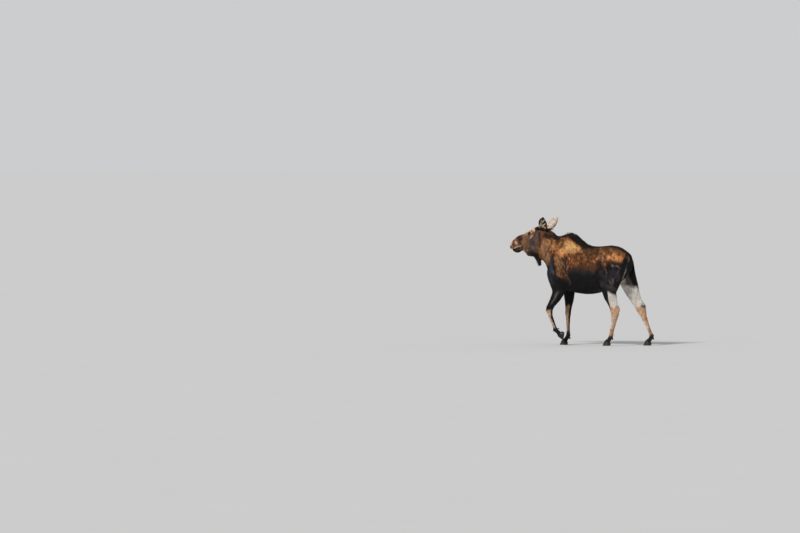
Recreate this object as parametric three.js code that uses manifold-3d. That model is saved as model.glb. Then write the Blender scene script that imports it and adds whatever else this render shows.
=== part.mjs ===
// A cow moose walking, life size, as a still model.
// Millimetres. The moose faces -X, its left side is -Y, the floor is Z = 0.
// Each body part is lofted through named cross-sections, the lofts are joined,
// and the joined body is parted into nodes by thin cuts.

import * as THREE from "three";
import { mergeVertices } from "three/addons/utils/BufferGeometryUtils.js";
import Module from "manifold-3d";

const wasm = await Module();
wasm.setup();

// ---- driving sizes -------------------------------------------------------

const GAP = 0.3;                 // clearance between touching parts
const HUMP_HEIGHT = 1820;        // floor to the top of the hump
const FETLOCK_HEIGHT = 149;      // floor to the fetlock of a flat foot
const FOLDED_BACK = 80;          // degrees the lifted foot hangs back from flat
const EYE_RADIUS = 20;
const EYE_CENTRE = { x: -640, y: 83, z: 1806 };
const EAR_THICKNESS = 8;
const HOOF_LENGTH = 126;
const HOOF_WIDTH = 49;           // one claw of the pair
const HOOF_SPLAY = 4;            // degrees each claw turns outwards
const CORONET_SLOPE = 22;        // degrees the top of a hoof falls towards the heel
const CLEFT = 7;                 // between the two claws of a foot
const DEWCLAW_LENGTH = 42;
const DEWCLAW_RADIUS = 13;
const DEWCLAW_LEAN = 16;         // degrees a dewclaw leans back from upright

const COLOURS = {
  back: 0x5a3a22,
  neck: 0x7a5330,
  face: 0x8a6446,
  jaw: 0x4a3d36,
  black: 0x1c1816,
  earInside: 0xb8977a,
  legTan: 0xa07c58,
  legPale: 0xcbb8a4,
  hoof: 0x1d1a18,
  eye: 0x120c08,
};

// ---- lofting -------------------------------------------------------------

// Smooth value through the stations, by the distance along them.
function flow(places, values, at) {
  let span = 0;
  while (span < places.length - 2 && at > places[span + 1]) span += 1;
  const width = places[span + 1] - places[span];
  const t = (at - places[span]) / width;
  const slope = (index) => {
    const before = Math.max(index - 1, 0);
    const after = Math.min(index + 1, places.length - 1);
    return (values[after] - values[before]) / (places[after] - places[before]);
  };
  const t2 = t * t;
  const t3 = t2 * t;
  return (2 * t3 - 3 * t2 + 1) * values[span]
    + (t3 - 2 * t2 + t) * width * slope(span)
    + (3 * t2 - 2 * t3) * values[span + 1]
    + (t3 - t2) * width * slope(span + 1);
}

// A cross-section is an oval about the line from its low end to its high end,
// [x, z] each, at y, with its half width at the widest point between the ends.
// A power of 2 is an ellipse, less is leaner, more is fuller.
const FIELDS = ["lowX", "lowZ", "highX", "highZ", "y", "half", "widest", "lowPower", "highPower"];

function station(low, high, half, extra = {}) {
  const { y = 0, widest = 0.5, lowPower = 2, highPower = 2 } = extra;
  return {
    lowX: low[0], lowZ: low[1], highX: high[0], highZ: high[1],
    y, half, widest, lowPower, highPower,
  };
}

function ring(s, count) {
  const points = [];
  const reachX = s.highX - s.lowX;
  const reachZ = s.highZ - s.lowZ;
  for (let i = 0; i < count; i += 1) {
    const turn = ((i + 0.5) / count) * 2 * Math.PI;
    const c = Math.cos(turn);
    const d = Math.sin(turn);
    const power = 2 / (c > 0 ? s.highPower : s.lowPower);
    const up = Math.sign(c) * Math.abs(c) ** power;
    const out = Math.sign(d) * Math.abs(d) ** power;
    const share = s.widest + up * (c > 0 ? 1 - s.widest : s.widest);
    points.push([s.lowX + share * reachX, s.y + out * s.half, s.lowZ + share * reachZ]);
  }
  return points;
}

// A closed skin over rings of equal count, capped at both ends.
function skinOver(rings) {
  const count = rings[0].length;
  const positions = rings.flat();
  const faces = [];
  for (let r = 0; r + 1 < rings.length; r += 1) {
    for (let i = 0; i < count; i += 1) {
      const j = (i + 1) % count;
      const a = r * count + i;
      const b = r * count + j;
      faces.push([a, b, b + count], [a, b + count, a + count]);
    }
  }
  [0, rings.length - 1].forEach((r) => {
    const centre = [0, 1, 2].map((k) => rings[r].reduce((sum, p) => sum + p[k], 0) / count);
    positions.push(centre);
    const hub = positions.length - 1;
    for (let i = 0; i < count; i += 1) {
      const a = r * count + i;
      const b = r * count + ((i + 1) % count);
      faces.push(r === 0 ? [b, a, hub] : [a, b, hub]);
    }
  });
  const geometry = new THREE.BufferGeometry();
  geometry.setAttribute("position", new THREE.Float32BufferAttribute(positions.flat(), 3));
  geometry.setIndex(faces.flat());
  return geometry;
}

function volume(geometry) {
  const p = geometry.getAttribute("position");
  const index = geometry.getIndex();
  const corner = (i) => new THREE.Vector3().fromBufferAttribute(p, index.getX(i));
  let sum = 0;
  for (let i = 0; i < index.count; i += 3) {
    sum += corner(i).dot(corner(i + 1).cross(corner(i + 2))) / 6;
  }
  return sum;
}

function toSolid(geometry) {
  const plain = geometry.clone();
  plain.deleteAttribute("normal");
  plain.deleteAttribute("uv");
  const merged = mergeVertices(plain, 1e-3);
  const triVerts = Uint32Array.from(merged.getIndex().array);
  if (volume(merged) < 0) triVerts.reverse();
  const vertProperties = Float32Array.from(merged.getAttribute("position").array);
  return new wasm.Manifold(new wasm.Mesh({ numProp: 3, vertProperties, triVerts }));
}

// Rings through the stations, `each` of them in every span.
function loft(stations, count, each) {
  const middle = (s) => [(s.lowX + s.highX) / 2, (s.lowZ + s.highZ) / 2, s.y];
  const places = [0];
  for (let i = 1; i < stations.length; i += 1) {
    const a = middle(stations[i - 1]);
    const b = middle(stations[i]);
    places.push(places[i - 1] + Math.hypot(b[0] - a[0], b[1] - a[1], b[2] - a[2]) + 1);
  }
  const rings = [];
  for (let i = 0; i + 1 < stations.length; i += 1) {
    const last = i + 2 === stations.length;
    for (let k = 0; k < each + (last ? 1 : 0); k += 1) {
      const at = places[i] + ((places[i + 1] - places[i]) * k) / each;
      const s = {};
      FIELDS.forEach((f) => {
        s[f] = flow(places, stations.map((one) => one[f]), at);
      });
      rings.push(ring(s, count));
    }
  }
  return toSolid(skinOver(rings));
}

const joined = (first, ...rest) => rest.reduce((sum, one) => sum.add(one), first);

// A block from one corner to the other, turned by `pitch` degrees about a
// level line across the moose through its own middle.
function block(from, to, pitch = 0) {
  const size = from.map((f, i) => Math.abs(to[i] - f));
  const geometry = new THREE.BoxGeometry(...size);
  geometry.rotateY(THREE.MathUtils.degToRad(pitch));
  geometry.translate(...from.map((f, i) => (f + to[i]) / 2));
  return toSolid(geometry);
}

const grownBlock = (from, to, pitch) => block(
  from.map((f, i) => Math.min(f, to[i]) - GAP),
  from.map((f, i) => Math.max(f, to[i]) + GAP),
  pitch,
);

// Parts `body` into what lies in the block and what lies outside it.
function part(body, from, to, pitch = 0) {
  return {
    inside: body.intersect(block(from, to, pitch)),
    rest: body.subtract(grownBlock(from, to, pitch)),
  };
}

// ---- trunk, neck and head ------------------------------------------------

function trunkLoft() {
  const at = (x, low, high, half, extra) => station([x, low], [x, high], half, extra);
  const chest = { widest: 0.42, lowPower: 1.9, highPower: 1.7 };
  const hump = { widest: 0.37, lowPower: 1.9, highPower: 1.4 };
  const barrel = { widest: 0.44, lowPower: 2.3, highPower: 1.85 };
  const loin = { widest: 0.5, lowPower: 2.1, highPower: 1.9 };
  const croup = { widest: 0.6, lowPower: 1.9, highPower: 2 };
  return loft([
    at(-316, 1110, 1190, 32, chest),
    at(-296, 1020, 1330, 91, chest),
    at(-246, 962, 1560, 151, chest),
    at(-170, 925, 1718, 195, { ...hump, highPower: 1.5 }),
    at(-80, 898, 1792, 223, hump),
    at(0, 877, HUMP_HEIGHT, 238, hump),
    at(109, 852, 1788, 251, { ...hump, widest: 0.38, highPower: 1.5 }),
    at(217, 838, 1694, 264, { ...barrel, highPower: 1.65 }),
    at(308, 830, 1622, 272, { ...barrel, highPower: 1.8 }),
    at(400, 833, 1597, 275, barrel),
    at(507, 850, 1599, 270, barrel),
    at(610, 884, 1611, 257, loin),
    at(720, 940, 1620, 242, loin),
    at(820, 1000, 1604, 225, croup),
    at(900, 1056, 1570, 202, croup),
    at(968, 1120, 1524, 168, croup),
    at(1020, 1190, 1470, 119, croup),
    at(1047, 1270, 1396, 53, croup),
  ], 26, 1);
}

function neckLoft() {
  const crest = { widest: 0.45, lowPower: 2, highPower: 1.6 };
  return loft([
    station([-520, 1450], [-476, 1894], 92, crest),
    station([-462, 1402], [-396, 1910], 106, crest),
    station([-418, 1360], [-326, 1888], 118, crest),
    station([-380, 1312], [-262, 1838], 132, crest),
    station([-356, 1240], [-186, 1770], 152, crest),
    station([-322, 1156], [-112, 1784], 168, { ...crest, highPower: 1.5 }),
    station([-250, 1080], [-40, 1786], 176, { ...crest, highPower: 1.4 }),
  ], 22, 1);
}

function headLoft() {
  const muzzle = { widest: 0.42, lowPower: 2.4, highPower: 2.2 };
  const bridge = { widest: 0.45, lowPower: 2.2, highPower: 2.3 };
  const brow = { widest: 0.7, lowPower: 1.9, highPower: 2.5 };
  const poll = { widest: 0.66, lowPower: 2, highPower: 2 };
  return loft([
    station([-970, 1570], [-981, 1594], 16, muzzle),
    station([-958, 1554], [-972, 1632], 44, muzzle),
    station([-934, 1547], [-948, 1674], 64, muzzle),
    station([-896, 1549], [-908, 1717], 76, muzzle),
    station([-850, 1556], [-854, 1760], 78, muzzle),
    station([-792, 1562], [-796, 1785], 70, bridge),
    station([-734, 1552], [-738, 1801], 66, bridge),
    station([-678, 1532], [-682, 1835], 82, { ...brow, widest: 0.66 }),
    station([-620, 1502], [-622, 1873], 108, brow),
    station([-560, 1472], [-558, 1908], 116, brow),
    station([-496, 1452], [-490, 1928], 112, poll),
    station([-440, 1440], [-420, 1926], 108, poll),
    station([-384, 1430], [-352, 1902], 100, poll),
  ], 18, 2);
}

function jawLoft() {
  const chin = { widest: 0.5, lowPower: 2.1, highPower: 2.4 };
  const cheek = { widest: 0.6, lowPower: 1.9, highPower: 2 };
  return loft([
    station([-936, 1534], [-938, 1547], 22, chin),
    station([-914, 1510], [-920, 1552], 42, chin),
    station([-868, 1490], [-872, 1557], 50, chin),
    station([-822, 1496], [-824, 1562], 46, chin),
    station([-778, 1526], [-776, 1580], 44, chin),
    station([-732, 1500], [-732, 1610], 50, cheek),
    station([-680, 1450], [-680, 1650], 66, cheek),
    station([-620, 1430], [-620, 1690], 88, cheek),
    station([-556, 1420], [-552, 1720], 98, cheek),
    station([-496, 1410], [-488, 1730], 98, cheek),
    station([-446, 1404], [-430, 1730], 88, cheek),
  ], 16, 1);
}

function bellLoft(grow = 0) {
  return loft([
    station([-590 - grow, 1462 + grow], [-470 + grow, 1418 + grow], 24 + grow),
    station([-588 - grow, 1430], [-459 + grow, 1384], 23 + grow),
    station([-560 - grow, 1388], [-456 + grow, 1352], 20 + grow),
    station([-524 - grow, 1338], [-466 + grow, 1318], 14 + grow),
    station([-494 - grow, 1290 - grow], [-480 + grow, 1284 - grow], 5 + grow),
  ], 12, 2);
}

function tailLoft(grow = 0) {
  const hair = { widest: 0.5, lowPower: 2, highPower: 2 };
  return loft([
    station([938 - grow, 1478], [962, 1530 + grow], 34 + grow, hair),
    station([984 - grow, 1452], [1016, 1492 + grow], 36 + grow, hair),
    station([1022 - grow, 1408], [1056, 1440 + grow], 30 + grow, hair),
    station([1046 - grow, 1366 - grow], [1062 + grow, 1376], 10 + grow, hair),
  ], 12, 2);
}

// ---- ears and eyes -------------------------------------------------------

// A cupped leaf from base to tip, open towards `opening`. `half` is its widest
// half width, `root` the share of that at the base and `cup` how deep it is.
function earLoft({ base, tip, opening, half: halfWidth, root, cup: depth }) {
  const from = new THREE.Vector3(...base);
  const along = new THREE.Vector3(...tip).sub(from);
  const length = along.length();
  along.normalize();
  const face = new THREE.Vector3(...opening);
  face.addScaledVector(along, -face.dot(along)).normalize();
  const across = new THREE.Vector3().crossVectors(along, face);
  const steps = 9;
  const half = 7;
  const rings = [];
  for (let k = 0; k <= steps; k += 1) {
    const t = k / steps;
    const leaf = 0.5 + 0.5 * Math.sin(Math.PI * Math.min(t / 0.5, 1) - Math.PI / 2);
    const taper = t < 0.45 ? 1 : 1 - ((t - 0.45) / 0.57) ** 2;
    const width = halfWidth * (root + (1 - root) * leaf) * taper;
    const cup = width * (depth - 0.6 * Math.min(t / 0.6, 1));
    const wall = Math.min(EAR_THICKNESS, width * 0.6);
    const points = [];
    const put = (w, d) => {
      const p = from.clone().addScaledVector(along, t * length);
      p.addScaledVector(across, w).addScaledVector(face, d);
      points.push([p.x, p.y, p.z]);
    };
    for (let i = 0; i <= half; i += 1) {
      const turn = -Math.PI / 2 + (Math.PI * i) / half;
      put(width * Math.sin(turn), -cup * Math.cos(turn));
    }
    for (let i = half - 1; i > 0; i -= 1) {
      const turn = -Math.PI / 2 + (Math.PI * i) / half;
      const inner = Math.max(cup - wall, cup * 0.1);
      put((width - wall * 0.5) * Math.sin(turn), -inner * Math.cos(turn));
    }
    rings.push(points);
  }
  return toSolid(skinOver(rings));
}

function eyeBall(side, grow = 0) {
  const geometry = new THREE.SphereGeometry(EYE_RADIUS + grow, 12, 8);
  geometry.translate(EYE_CENTRE.x, side * EYE_CENTRE.y, EYE_CENTRE.z);
  return toSolid(geometry);
}

// ---- legs ----------------------------------------------------------------

// A leg is a stack of level cross-sections: height, front edge, rear edge, half width.
function legLoft(rows, side, count = 12) {
  const stations = rows.map(([z, front, rear, half, y]) => station(
    [front, z],
    [rear, z],
    half,
    { y: side * y, widest: 0.48, lowPower: 2.1, highPower: 2 },
  ));
  return loft(stations, count, 1);
}

const SHOULDER_LEFT = [
  [1600, -110, 110, 40, 82],
  [1450, -222, 130, 74, 128],
  [1310, -300, 96, 94, 148],
  [1190, -322, 50, 100, 160],
  [1070, -302, 14, 97, 166],
  [970, -264, -8, 86, 168],
  [895, -232, -20, 74, 167],
  [830, -236, -38, 66, 164],
  [724, -280, -108, 55, 160],
  [622, -334, -200, 46, 158],
  [557, -338, -230, 46, 158],
  [478, -302, -226, 37, 157],
  [372, -254, -190, 28, 155],
  [312, -230, -170, 27, 154],
  [264, -218, -144, 36, 153],
];

const SHOULDER_RIGHT = [
  [1600, -100, 130, 40, 82],
  [1450, -206, 150, 74, 128],
  [1310, -276, 128, 94, 148],
  [1190, -296, 100, 100, 160],
  [1070, -276, 86, 98, 164],
  [970, -214, 76, 86, 162],
  [870, -124, 62, 72, 158],
  [724, -103, 44, 56, 154],
  [610, -94, 18, 47, 151],
  [513, -94, 0, 46, 150],
  [425, -84, -10, 37, 149],
  [302, -73, -17, 28, 148],
  [215, -72, -14, 28, 147],
  [152, -82, -6, 36, 146],
];

const THIGH_LEFT = [
  [1510, 680, 920, 40, 98],
  [1440, 622, 984, 76, 128],
  [1360, 594, 1004, 96, 146],
  [1220, 572, 980, 108, 152],
  [1100, 566, 940, 106, 158],
  [975, 576, 890, 92, 162],
  [864, 598, 832, 72, 160],
  [759, 636, 838, 56, 156],
  [671, 688, 862, 46, 152],
  [590, 720, 892, 42, 150],
  [478, 749, 868, 37, 148],
  [372, 742, 830, 29, 146],
  [230, 718, 786, 27, 144],
  [152, 702, 780, 36, 143],
];

const THIGH_RIGHT = [
  [1510, 700, 940, 40, 98],
  [1440, 664, 1014, 76, 128],
  [1360, 650, 1046, 96, 146],
  [1220, 676, 1066, 108, 152],
  [1100, 736, 1090, 102, 156],
  [975, 822, 1122, 86, 156],
  [864, 892, 1136, 68, 154],
  [759, 968, 1170, 54, 152],
  [665, 1030, 1236, 45, 150],
  [600, 1070, 1252, 42, 149],
  [478, 1146, 1266, 37, 148],
  [337, 1230, 1306, 29, 146],
  [230, 1286, 1346, 27, 144],
  [152, 1311, 1388, 36, 143],
];

// The pastern, from the fetlock down into the hooves, in the foot's own frame:
// the fetlock is at the origin and the toes point to -X.
function pasternLoft() {
  return loft([
    station([-30, 34], [28, 38], 33),
    station([-41, 0], [41, 6], 37),
    station([-62, -34], [12, -44], 36),
    station([-94, -56], [-12, -86], 41),
    station([-108, -82], [-24, -114], 42),
  ], 12, 1);
}

// One claw of a foot: a pointed half oval, upright on its inner side.
function clawLoft(side) {
  const around = 12;
  const levels = [
    [0, 0.97, 0],
    [8, 1, 0],
    [40, 0.93, 14],
    [74, 0.8, 30],
    [92, 0.72, 38],
  ];
  const rings = levels.map(([height, size, back]) => {
    const points = [];
    for (let i = 0; i < around; i += 1) {
      const turn = ((i + 0.5) / around) * 2 * Math.PI;
      const length = (0.5 - 0.5 * Math.cos(turn));
      const bulge = Math.sin(turn) > 0
        ? HOOF_WIDTH * Math.sin(turn) ** 0.9 * (0.55 + 0.45 * length)
        : 3 * Math.sin(turn);
      const x = -HOOF_LENGTH - 12 + length * HOOF_LENGTH * size + back;
      points.push([x, CLEFT / 2 + 3 + bulge * size, height - FETLOCK_HEIGHT]);
    }
    return points;
  });
  const geometry = skinOver(rings);
  geometry.rotateZ(THREE.MathUtils.degToRad(-HOOF_SPLAY));
  geometry.scale(1, side, 1);
  return geometry;
}

// One dewclaw, a blunt cone behind the pastern pointing down and a little back.
function dewclawCone(side, grow = 0) {
  const profile = [[0, 0], [0.8, 0], [1, 0.3], [0.7, 0.8], [0, 1]];
  const geometry = new THREE.LatheGeometry(
    profile.map(([r, h]) => new THREE.Vector2(
      r === 0 ? 0 : r * DEWCLAW_RADIUS + grow,
      -h * DEWCLAW_LENGTH + (h > 0.5 ? -grow : grow),
    )),
    6,
  );
  geometry.scale(0.8, 1, 1);
  geometry.rotateX(Math.PI / 2);
  geometry.rotateY(THREE.MathUtils.degToRad(-DEWCLAW_LEAN));
  geometry.translate(17, side * 25, -18);
  return geometry;
}

// A whole foot set under its fetlock and pitched about it.
function placeFoot(geometry, fetlock, pitch) {
  geometry.rotateY(THREE.MathUtils.degToRad(-pitch));
  geometry.translate(...fetlock);
  return toSolid(geometry);
}

function turned(solid, fetlock, pitch) {
  return solid.rotate([0, -pitch, 0]).translate(fetlock);
}

// ---- the four legs -------------------------------------------------------

// `cuts` are the heights of the elbow or stifle cut, the knee or hock cut
// and the fetlock cut, and `reach` is the span of the leg along X.
const LEGS = [
  {
    name: "front_left", side: -1, rows: SHOULDER_LEFT, fetlock: [-182, -153, 253],
    pitch: FOLDED_BACK, cuts: [852, 530, 300], reach: [-460, 20],
  },
  {
    name: "front_right", side: 1, rows: SHOULDER_RIGHT, fetlock: [-44, 146, FETLOCK_HEIGHT],
    pitch: 0, cuts: [842, 486, 186], reach: [-300, 90],
  },
  {
    name: "hind_left", side: -1, rows: THIGH_LEFT, fetlock: [740, -143, FETLOCK_HEIGHT],
    pitch: 0, cuts: [850, 520, 186], reach: [530, 1100],
  },
  {
    name: "hind_right", side: 1, rows: THIGH_RIGHT, fetlock: [1348, 143, FETLOCK_HEIGHT],
    pitch: 0, cuts: [930, 545, 186], reach: [760, 1500],
  },
];

const nodes = {};
const floorCut = block([-3000, -1500, -400], [3000, 1500, 0]);

LEGS.forEach((leg) => {
  const { name, side, fetlock, pitch } = leg;
  const coronet = [[-400, -200, -88], [400, 200, 400], CORONET_SLOPE];
  const above = turned(block(...coronet), fetlock, pitch);
  const pastern = turned(pasternLoft(), fetlock, pitch).intersect(above);
  leg.flesh = joined(legLoft(leg.rows, side), pastern);
  const hoofRoom = turned(grownBlock(...coronet), fetlock, pitch);
  [-1, 1].forEach((inner) => {
    const where = inner === side ? "outer" : "inner";
    const claw = placeFoot(clawLoft(inner), fetlock, pitch);
    nodes[`hoof_${name}_${where}`] = claw.subtract(hoofRoom).subtract(floorCut);
    leg.flesh = leg.flesh.subtract(placeFoot(dewclawCone(inner, GAP), fetlock, pitch));
    nodes[`dewclaw_${name}_${where}`] = placeFoot(dewclawCone(inner), fetlock, pitch);
  });
});

// ---- the body, joined and then parted ------------------------------------

const EARS = [
  {
    base: [-428, -78, 1862], tip: [-386, -208, 2068], opening: [-0.25, -1, 0.1],
    half: 75, root: 0.7, cup: 0.9,
  },
  {
    base: [-398, 80, 1862], tip: [-230, 196, 2066], opening: [-0.6, 0.8, 0.1],
    half: 60, root: 0.56, cup: 1.05,
  },
];

let body = joined(
  trunkLoft(),
  neckLoft(),
  headLoft(),
  jawLoft(),
  ...EARS.map(earLoft),
  ...LEGS.map((leg) => leg.flesh),
);

LEGS.forEach(({ name, side, cuts, reach }) => {
  const [top, middle, ankle] = cuts;
  const near = side * 12;
  const far = side * 420;
  const whole = part(body, [reach[0], near, -50], [reach[1], far, top]);
  body = whole.rest;
  const upper = part(whole.inside, [reach[0] - 200, near, middle], [reach[1] + 200, far, 1500]);
  const lower = part(upper.rest, [reach[0] - 200, near, ankle], [reach[1] + 200, far, 1500]);
  nodes[`leg_${name}_upper`] = upper.inside;
  nodes[`leg_${name}_lower`] = lower.inside;
  nodes[`foot_${name}`] = lower.rest;
});

[[-1, "left"], [1, "right"]].forEach(([side, name]) => {
  const ear = part(body, [-520, side * 80, 1884], [-120, side * 320, 2300]);
  nodes[`ear_${name}`] = ear.inside;
  body = ear.rest;
});

nodes.bell = bellLoft();
body = body.subtract(bellLoft(GAP));

const front = part(body, [-1300, -400, 1180], [-376, 400, 2300], 16);
const jaw = part(front.inside, [-1100, -300, 1250], [-520, 300, 1562], -4);
nodes.lower_jaw = jaw.inside;
nodes.head = jaw.rest;
body = front.rest;

const neck = part(body, [-900, -500, 1215], [-232, 500, 2300], 18);
nodes.neck = neck.inside;
nodes.trunk = neck.rest;

const tail = tailLoft();
nodes.trunk = nodes.trunk.subtract(tailLoft(GAP));
nodes.tail = tail;

[[-1, "left"], [1, "right"]].forEach(([side, name]) => {
  nodes.head = nodes.head.subtract(eyeBall(side, GAP));
  nodes[`eye_${name}`] = eyeBall(side);
});

// ---- colours and the group ------------------------------------------------

function colourOf(name) {
  if (name.startsWith("hoof") || name.startsWith("dewclaw")) return [COLOURS.hoof, 0.45];
  if (name.startsWith("eye")) return [COLOURS.eye, 0.08];
  if (name.startsWith("ear")) return [COLOURS.earInside, 0.85];
  if (name === "leg_front_right_lower" || name.startsWith("foot")) return [COLOURS.legTan, 0.85];
  if (name.startsWith("leg_hind")) return [COLOURS.legPale, 0.85];
  if (name.startsWith("leg_front")) return [COLOURS.black, 0.85];
  if (name === "bell") return [COLOURS.black, 0.9];
  if (name === "head") return [COLOURS.face, 0.85];
  if (name === "lower_jaw") return [COLOURS.jaw, 0.85];
  if (name === "neck") return [COLOURS.neck, 0.9];
  return [COLOURS.back, 0.9];
}

const group = new THREE.Group();

Object.entries(nodes).forEach(([name, solid]) => {
  const { vertProperties, triVerts } = solid.getMesh();
  const geometry = new THREE.BufferGeometry();
  geometry.setAttribute("position", new THREE.Float32BufferAttribute(vertProperties, 3));
  geometry.setIndex(Array.from(triVerts));
  const [color, roughness] = colourOf(name);
  const material = new THREE.MeshStandardMaterial({ color, roughness, metalness: 0 });
  const mesh = new THREE.Mesh(geometry, material);
  mesh.name = name;
  group.add(mesh);
});

// The middle of the moose's length and width stands over the origin.
const box = new THREE.Box3().setFromObject(group);
group.position.set(-(box.min.x + box.max.x) / 2, -(box.min.y + box.max.y) / 2, 0);
group.updateMatrixWorld(true);

export default group;
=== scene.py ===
import math

import bmesh
import bpy
import numpy as np
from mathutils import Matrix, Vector
from mathutils.bvhtree import BVHTree


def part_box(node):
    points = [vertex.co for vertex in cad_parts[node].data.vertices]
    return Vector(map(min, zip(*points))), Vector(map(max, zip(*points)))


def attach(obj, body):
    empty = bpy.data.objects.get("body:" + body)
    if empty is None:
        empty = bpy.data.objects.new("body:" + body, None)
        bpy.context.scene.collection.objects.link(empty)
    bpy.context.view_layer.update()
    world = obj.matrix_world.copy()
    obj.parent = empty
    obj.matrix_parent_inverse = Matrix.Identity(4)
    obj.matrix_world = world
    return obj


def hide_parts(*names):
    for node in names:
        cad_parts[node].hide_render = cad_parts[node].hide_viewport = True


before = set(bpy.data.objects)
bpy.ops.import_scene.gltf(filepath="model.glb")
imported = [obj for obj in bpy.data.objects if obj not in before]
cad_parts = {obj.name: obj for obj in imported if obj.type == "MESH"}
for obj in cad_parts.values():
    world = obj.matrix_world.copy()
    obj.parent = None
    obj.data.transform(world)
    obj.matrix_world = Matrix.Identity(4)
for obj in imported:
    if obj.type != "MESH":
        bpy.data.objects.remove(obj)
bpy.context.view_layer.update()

# --------------------
# The hide. One skin covers the whole animal from lips to coronets. It is cast
# over the solids of flesh and drawn in by the depth of the coat, and its head,
# muscles and legs are then modelled. Lengthwise places are counted from the hump.

# Measures are in metres, except in the tables that name another unit.

FLESH = [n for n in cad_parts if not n.startswith(("eye", "hoof", "dewclaw"))]
CAST = [n for n in FLESH if not n.startswith("ear")] + ["eye_left", "eye_right"]
EYE = np.array([-0.64, 0.077, 1.806])
HUMP_X = (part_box("eye_left")[0][0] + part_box("eye_left")[1][0]) / 2 - EYE[0]
CAST_GRID = 0.0052               # grid the skin is first cast on
SEAM = 0.0004                    # how far the solids are swollen to close their seams
HIDE_FACES = 185000


def above(value, low, high):
    """0 under low, 1 over high and smooth between."""
    t = np.clip((value - low) / (high - low), 0, 1)
    return t * t * (3 - 2 * t)


def below(value, low, high):
    return 1 - above(value, low, high)


def hill(value, at, reach):
    """1 where value is at, and less the further it is."""
    return np.exp(-((value - at) / reach) ** 2)


def blend(value, other, share):
    return value + (other - value) * share


def columns(*values):
    return np.stack(values, axis=1)


def lengths(v):
    return np.linalg.norm(v, axis=1)


def read_places(mesh, what="co"):
    flat = np.empty(len(mesh.vertices) * 3)
    mesh.vertices.foreach_get(what, flat)
    return flat.reshape(-1, 3)


def put_places(mesh, p):
    mesh.vertices.foreach_set("co", p.astype(np.float32).ravel())
    mesh.update()


def place_of(p):
    """Lengthwise place from the hump, sideways place and height."""
    return p[:, 0] - HUMP_X, p[:, 1], p[:, 2]


def set_out(name, data):
    piece = bpy.data.objects.new(name, data)
    bpy.context.scene.collection.objects.link(piece)
    return piece


def settle(piece):
    """Makes a piece's modifiers part of its mesh."""
    graph = bpy.context.evaluated_depsgraph_get()
    piece.data = bpy.data.meshes.new_from_object(piece.evaluated_get(graph))
    piece.modifiers.clear()


def recast(piece, grid):
    mould = piece.modifiers.new("mould", "REMESH")
    mould.mode = "VOXEL"
    mould.voxel_size = grid
    settle(piece)


def cast_hide():
    solid = bmesh.new()
    for name in CAST:
        part = bmesh.new()
        part.from_mesh(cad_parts[name].data)
        bmesh.ops.remove_doubles(part, verts=part.verts, dist=1e-5)
        bmesh.ops.recalc_face_normals(part, faces=part.faces)
        part.normal_update()
        for v in part.verts:
            v.co += v.normal * SEAM
        spare = bpy.data.meshes.new("spare")
        part.to_mesh(spare)
        part.free()
        solid.from_mesh(spare)
        bpy.data.meshes.remove(spare)
    mesh = bpy.data.meshes.new("hide")
    solid.to_mesh(mesh)
    solid.free()
    cast = set_out("hide", mesh)
    recast(cast, CAST_GRID)
    return cast


def finer_grid(mesh, chosen):
    """Halves the grid of the skin where chosen says so."""
    grid = bmesh.new()
    grid.from_mesh(mesh)
    keep = chosen(*place_of(np.array([v.co[:] for v in grid.verts])))
    edges = [e for e in grid.edges if keep[e.verts[0].index] and keep[e.verts[1].index]]
    bmesh.ops.subdivide_edges(grid, edges=edges, cuts=1, use_grid_fill=True)
    grid.to_mesh(mesh)
    grid.free()


def edge_ends(mesh):
    ends = np.empty(len(mesh.edges) * 2, dtype=np.int32)
    mesh.edges.foreach_get("vertices", ends)
    return ends.reshape(-1, 2)


def relax(p, ends, share, rounds):
    """Evens out the surface, most where share is 1."""
    a, b = ends[:, 0], ends[:, 1]
    n = len(p)
    count = np.bincount(ends.ravel(), minlength=n)
    pull = (0.5 * share / np.maximum(count, 1))[:, None]
    for _ in range(rounds):
        near = columns(*(np.bincount(a, p[b, k], n) + np.bincount(b, p[a, k], n) for k in range(3)))
        p = p + pull * (near - count[:, None] * p)
    return p


def even_out(p, ends, share, rounds, back):
    """Evens out the surface and gives it back that share of what this took off."""
    smooth = relax(p, ends, share, rounds)
    return smooth + back * relax(p - smooth, ends, share, rounds)


def low_leg_share(z):
    return below(z, 0.8, 0.98)


def head_line(x, z):
    """Lengthwise place as seen along the slant at which the head joins the neck."""
    return x - (z - 1.74) * 0.287


def head_share(x, z):
    """1 on the head, 0 from the neck back."""
    return below(head_line(x, z), -0.46, -0.36)


def bell_share(x, z):
    return below(np.hypot((x + 0.505) / 0.085, (z - 1.35) / 0.085), 0.75, 1.1)


# How far the tips of the coat stand off the skin.
TRUNK_DEPTH = 0.014
CREST_MORE = 0.002
HEAD_DEPTH = 0.005
LEG_DEPTH = 0.0045
BELL_DEPTH = 0.006


def coat_depth(x, y, z):
    crest = below(np.abs(y), 0.03, 0.12) * above(x, -0.5, -0.3) * below(x, 0.3, 0.6)
    depth = TRUNK_DEPTH + CREST_MORE * crest * above(z, 1.55, 1.7)
    depth = blend(depth, HEAD_DEPTH, head_share(x, z))
    depth = blend(depth, LEG_DEPTH, low_leg_share(z))
    return blend(depth, BELL_DEPTH, bell_share(x, z))


# Lids, lips and nostrils.
EYE_SIZE = 0.02
LID = 0.0016
LOOK = np.array([-0.34, 0.93, 0.08])
LID_TILT = math.radians(-20)
OPEN_HALF = 0.0185
OPEN_UP, OPEN_DOWN = 0.0108, 0.009
LID_REACH = 0.055
MOUTH = [                        # lengthwise place, height
    [-0.985, -0.955, -0.925, -0.87, -0.82, -0.775, -0.74],
    [1.556, 1.553, 1.55, 1.553, 1.556, 1.565, 1.572],
]
NOSTRIL = (np.array([-0.962, 0.04, 1.584]), np.array([-0.912, 0.068, 1.634]))

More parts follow.
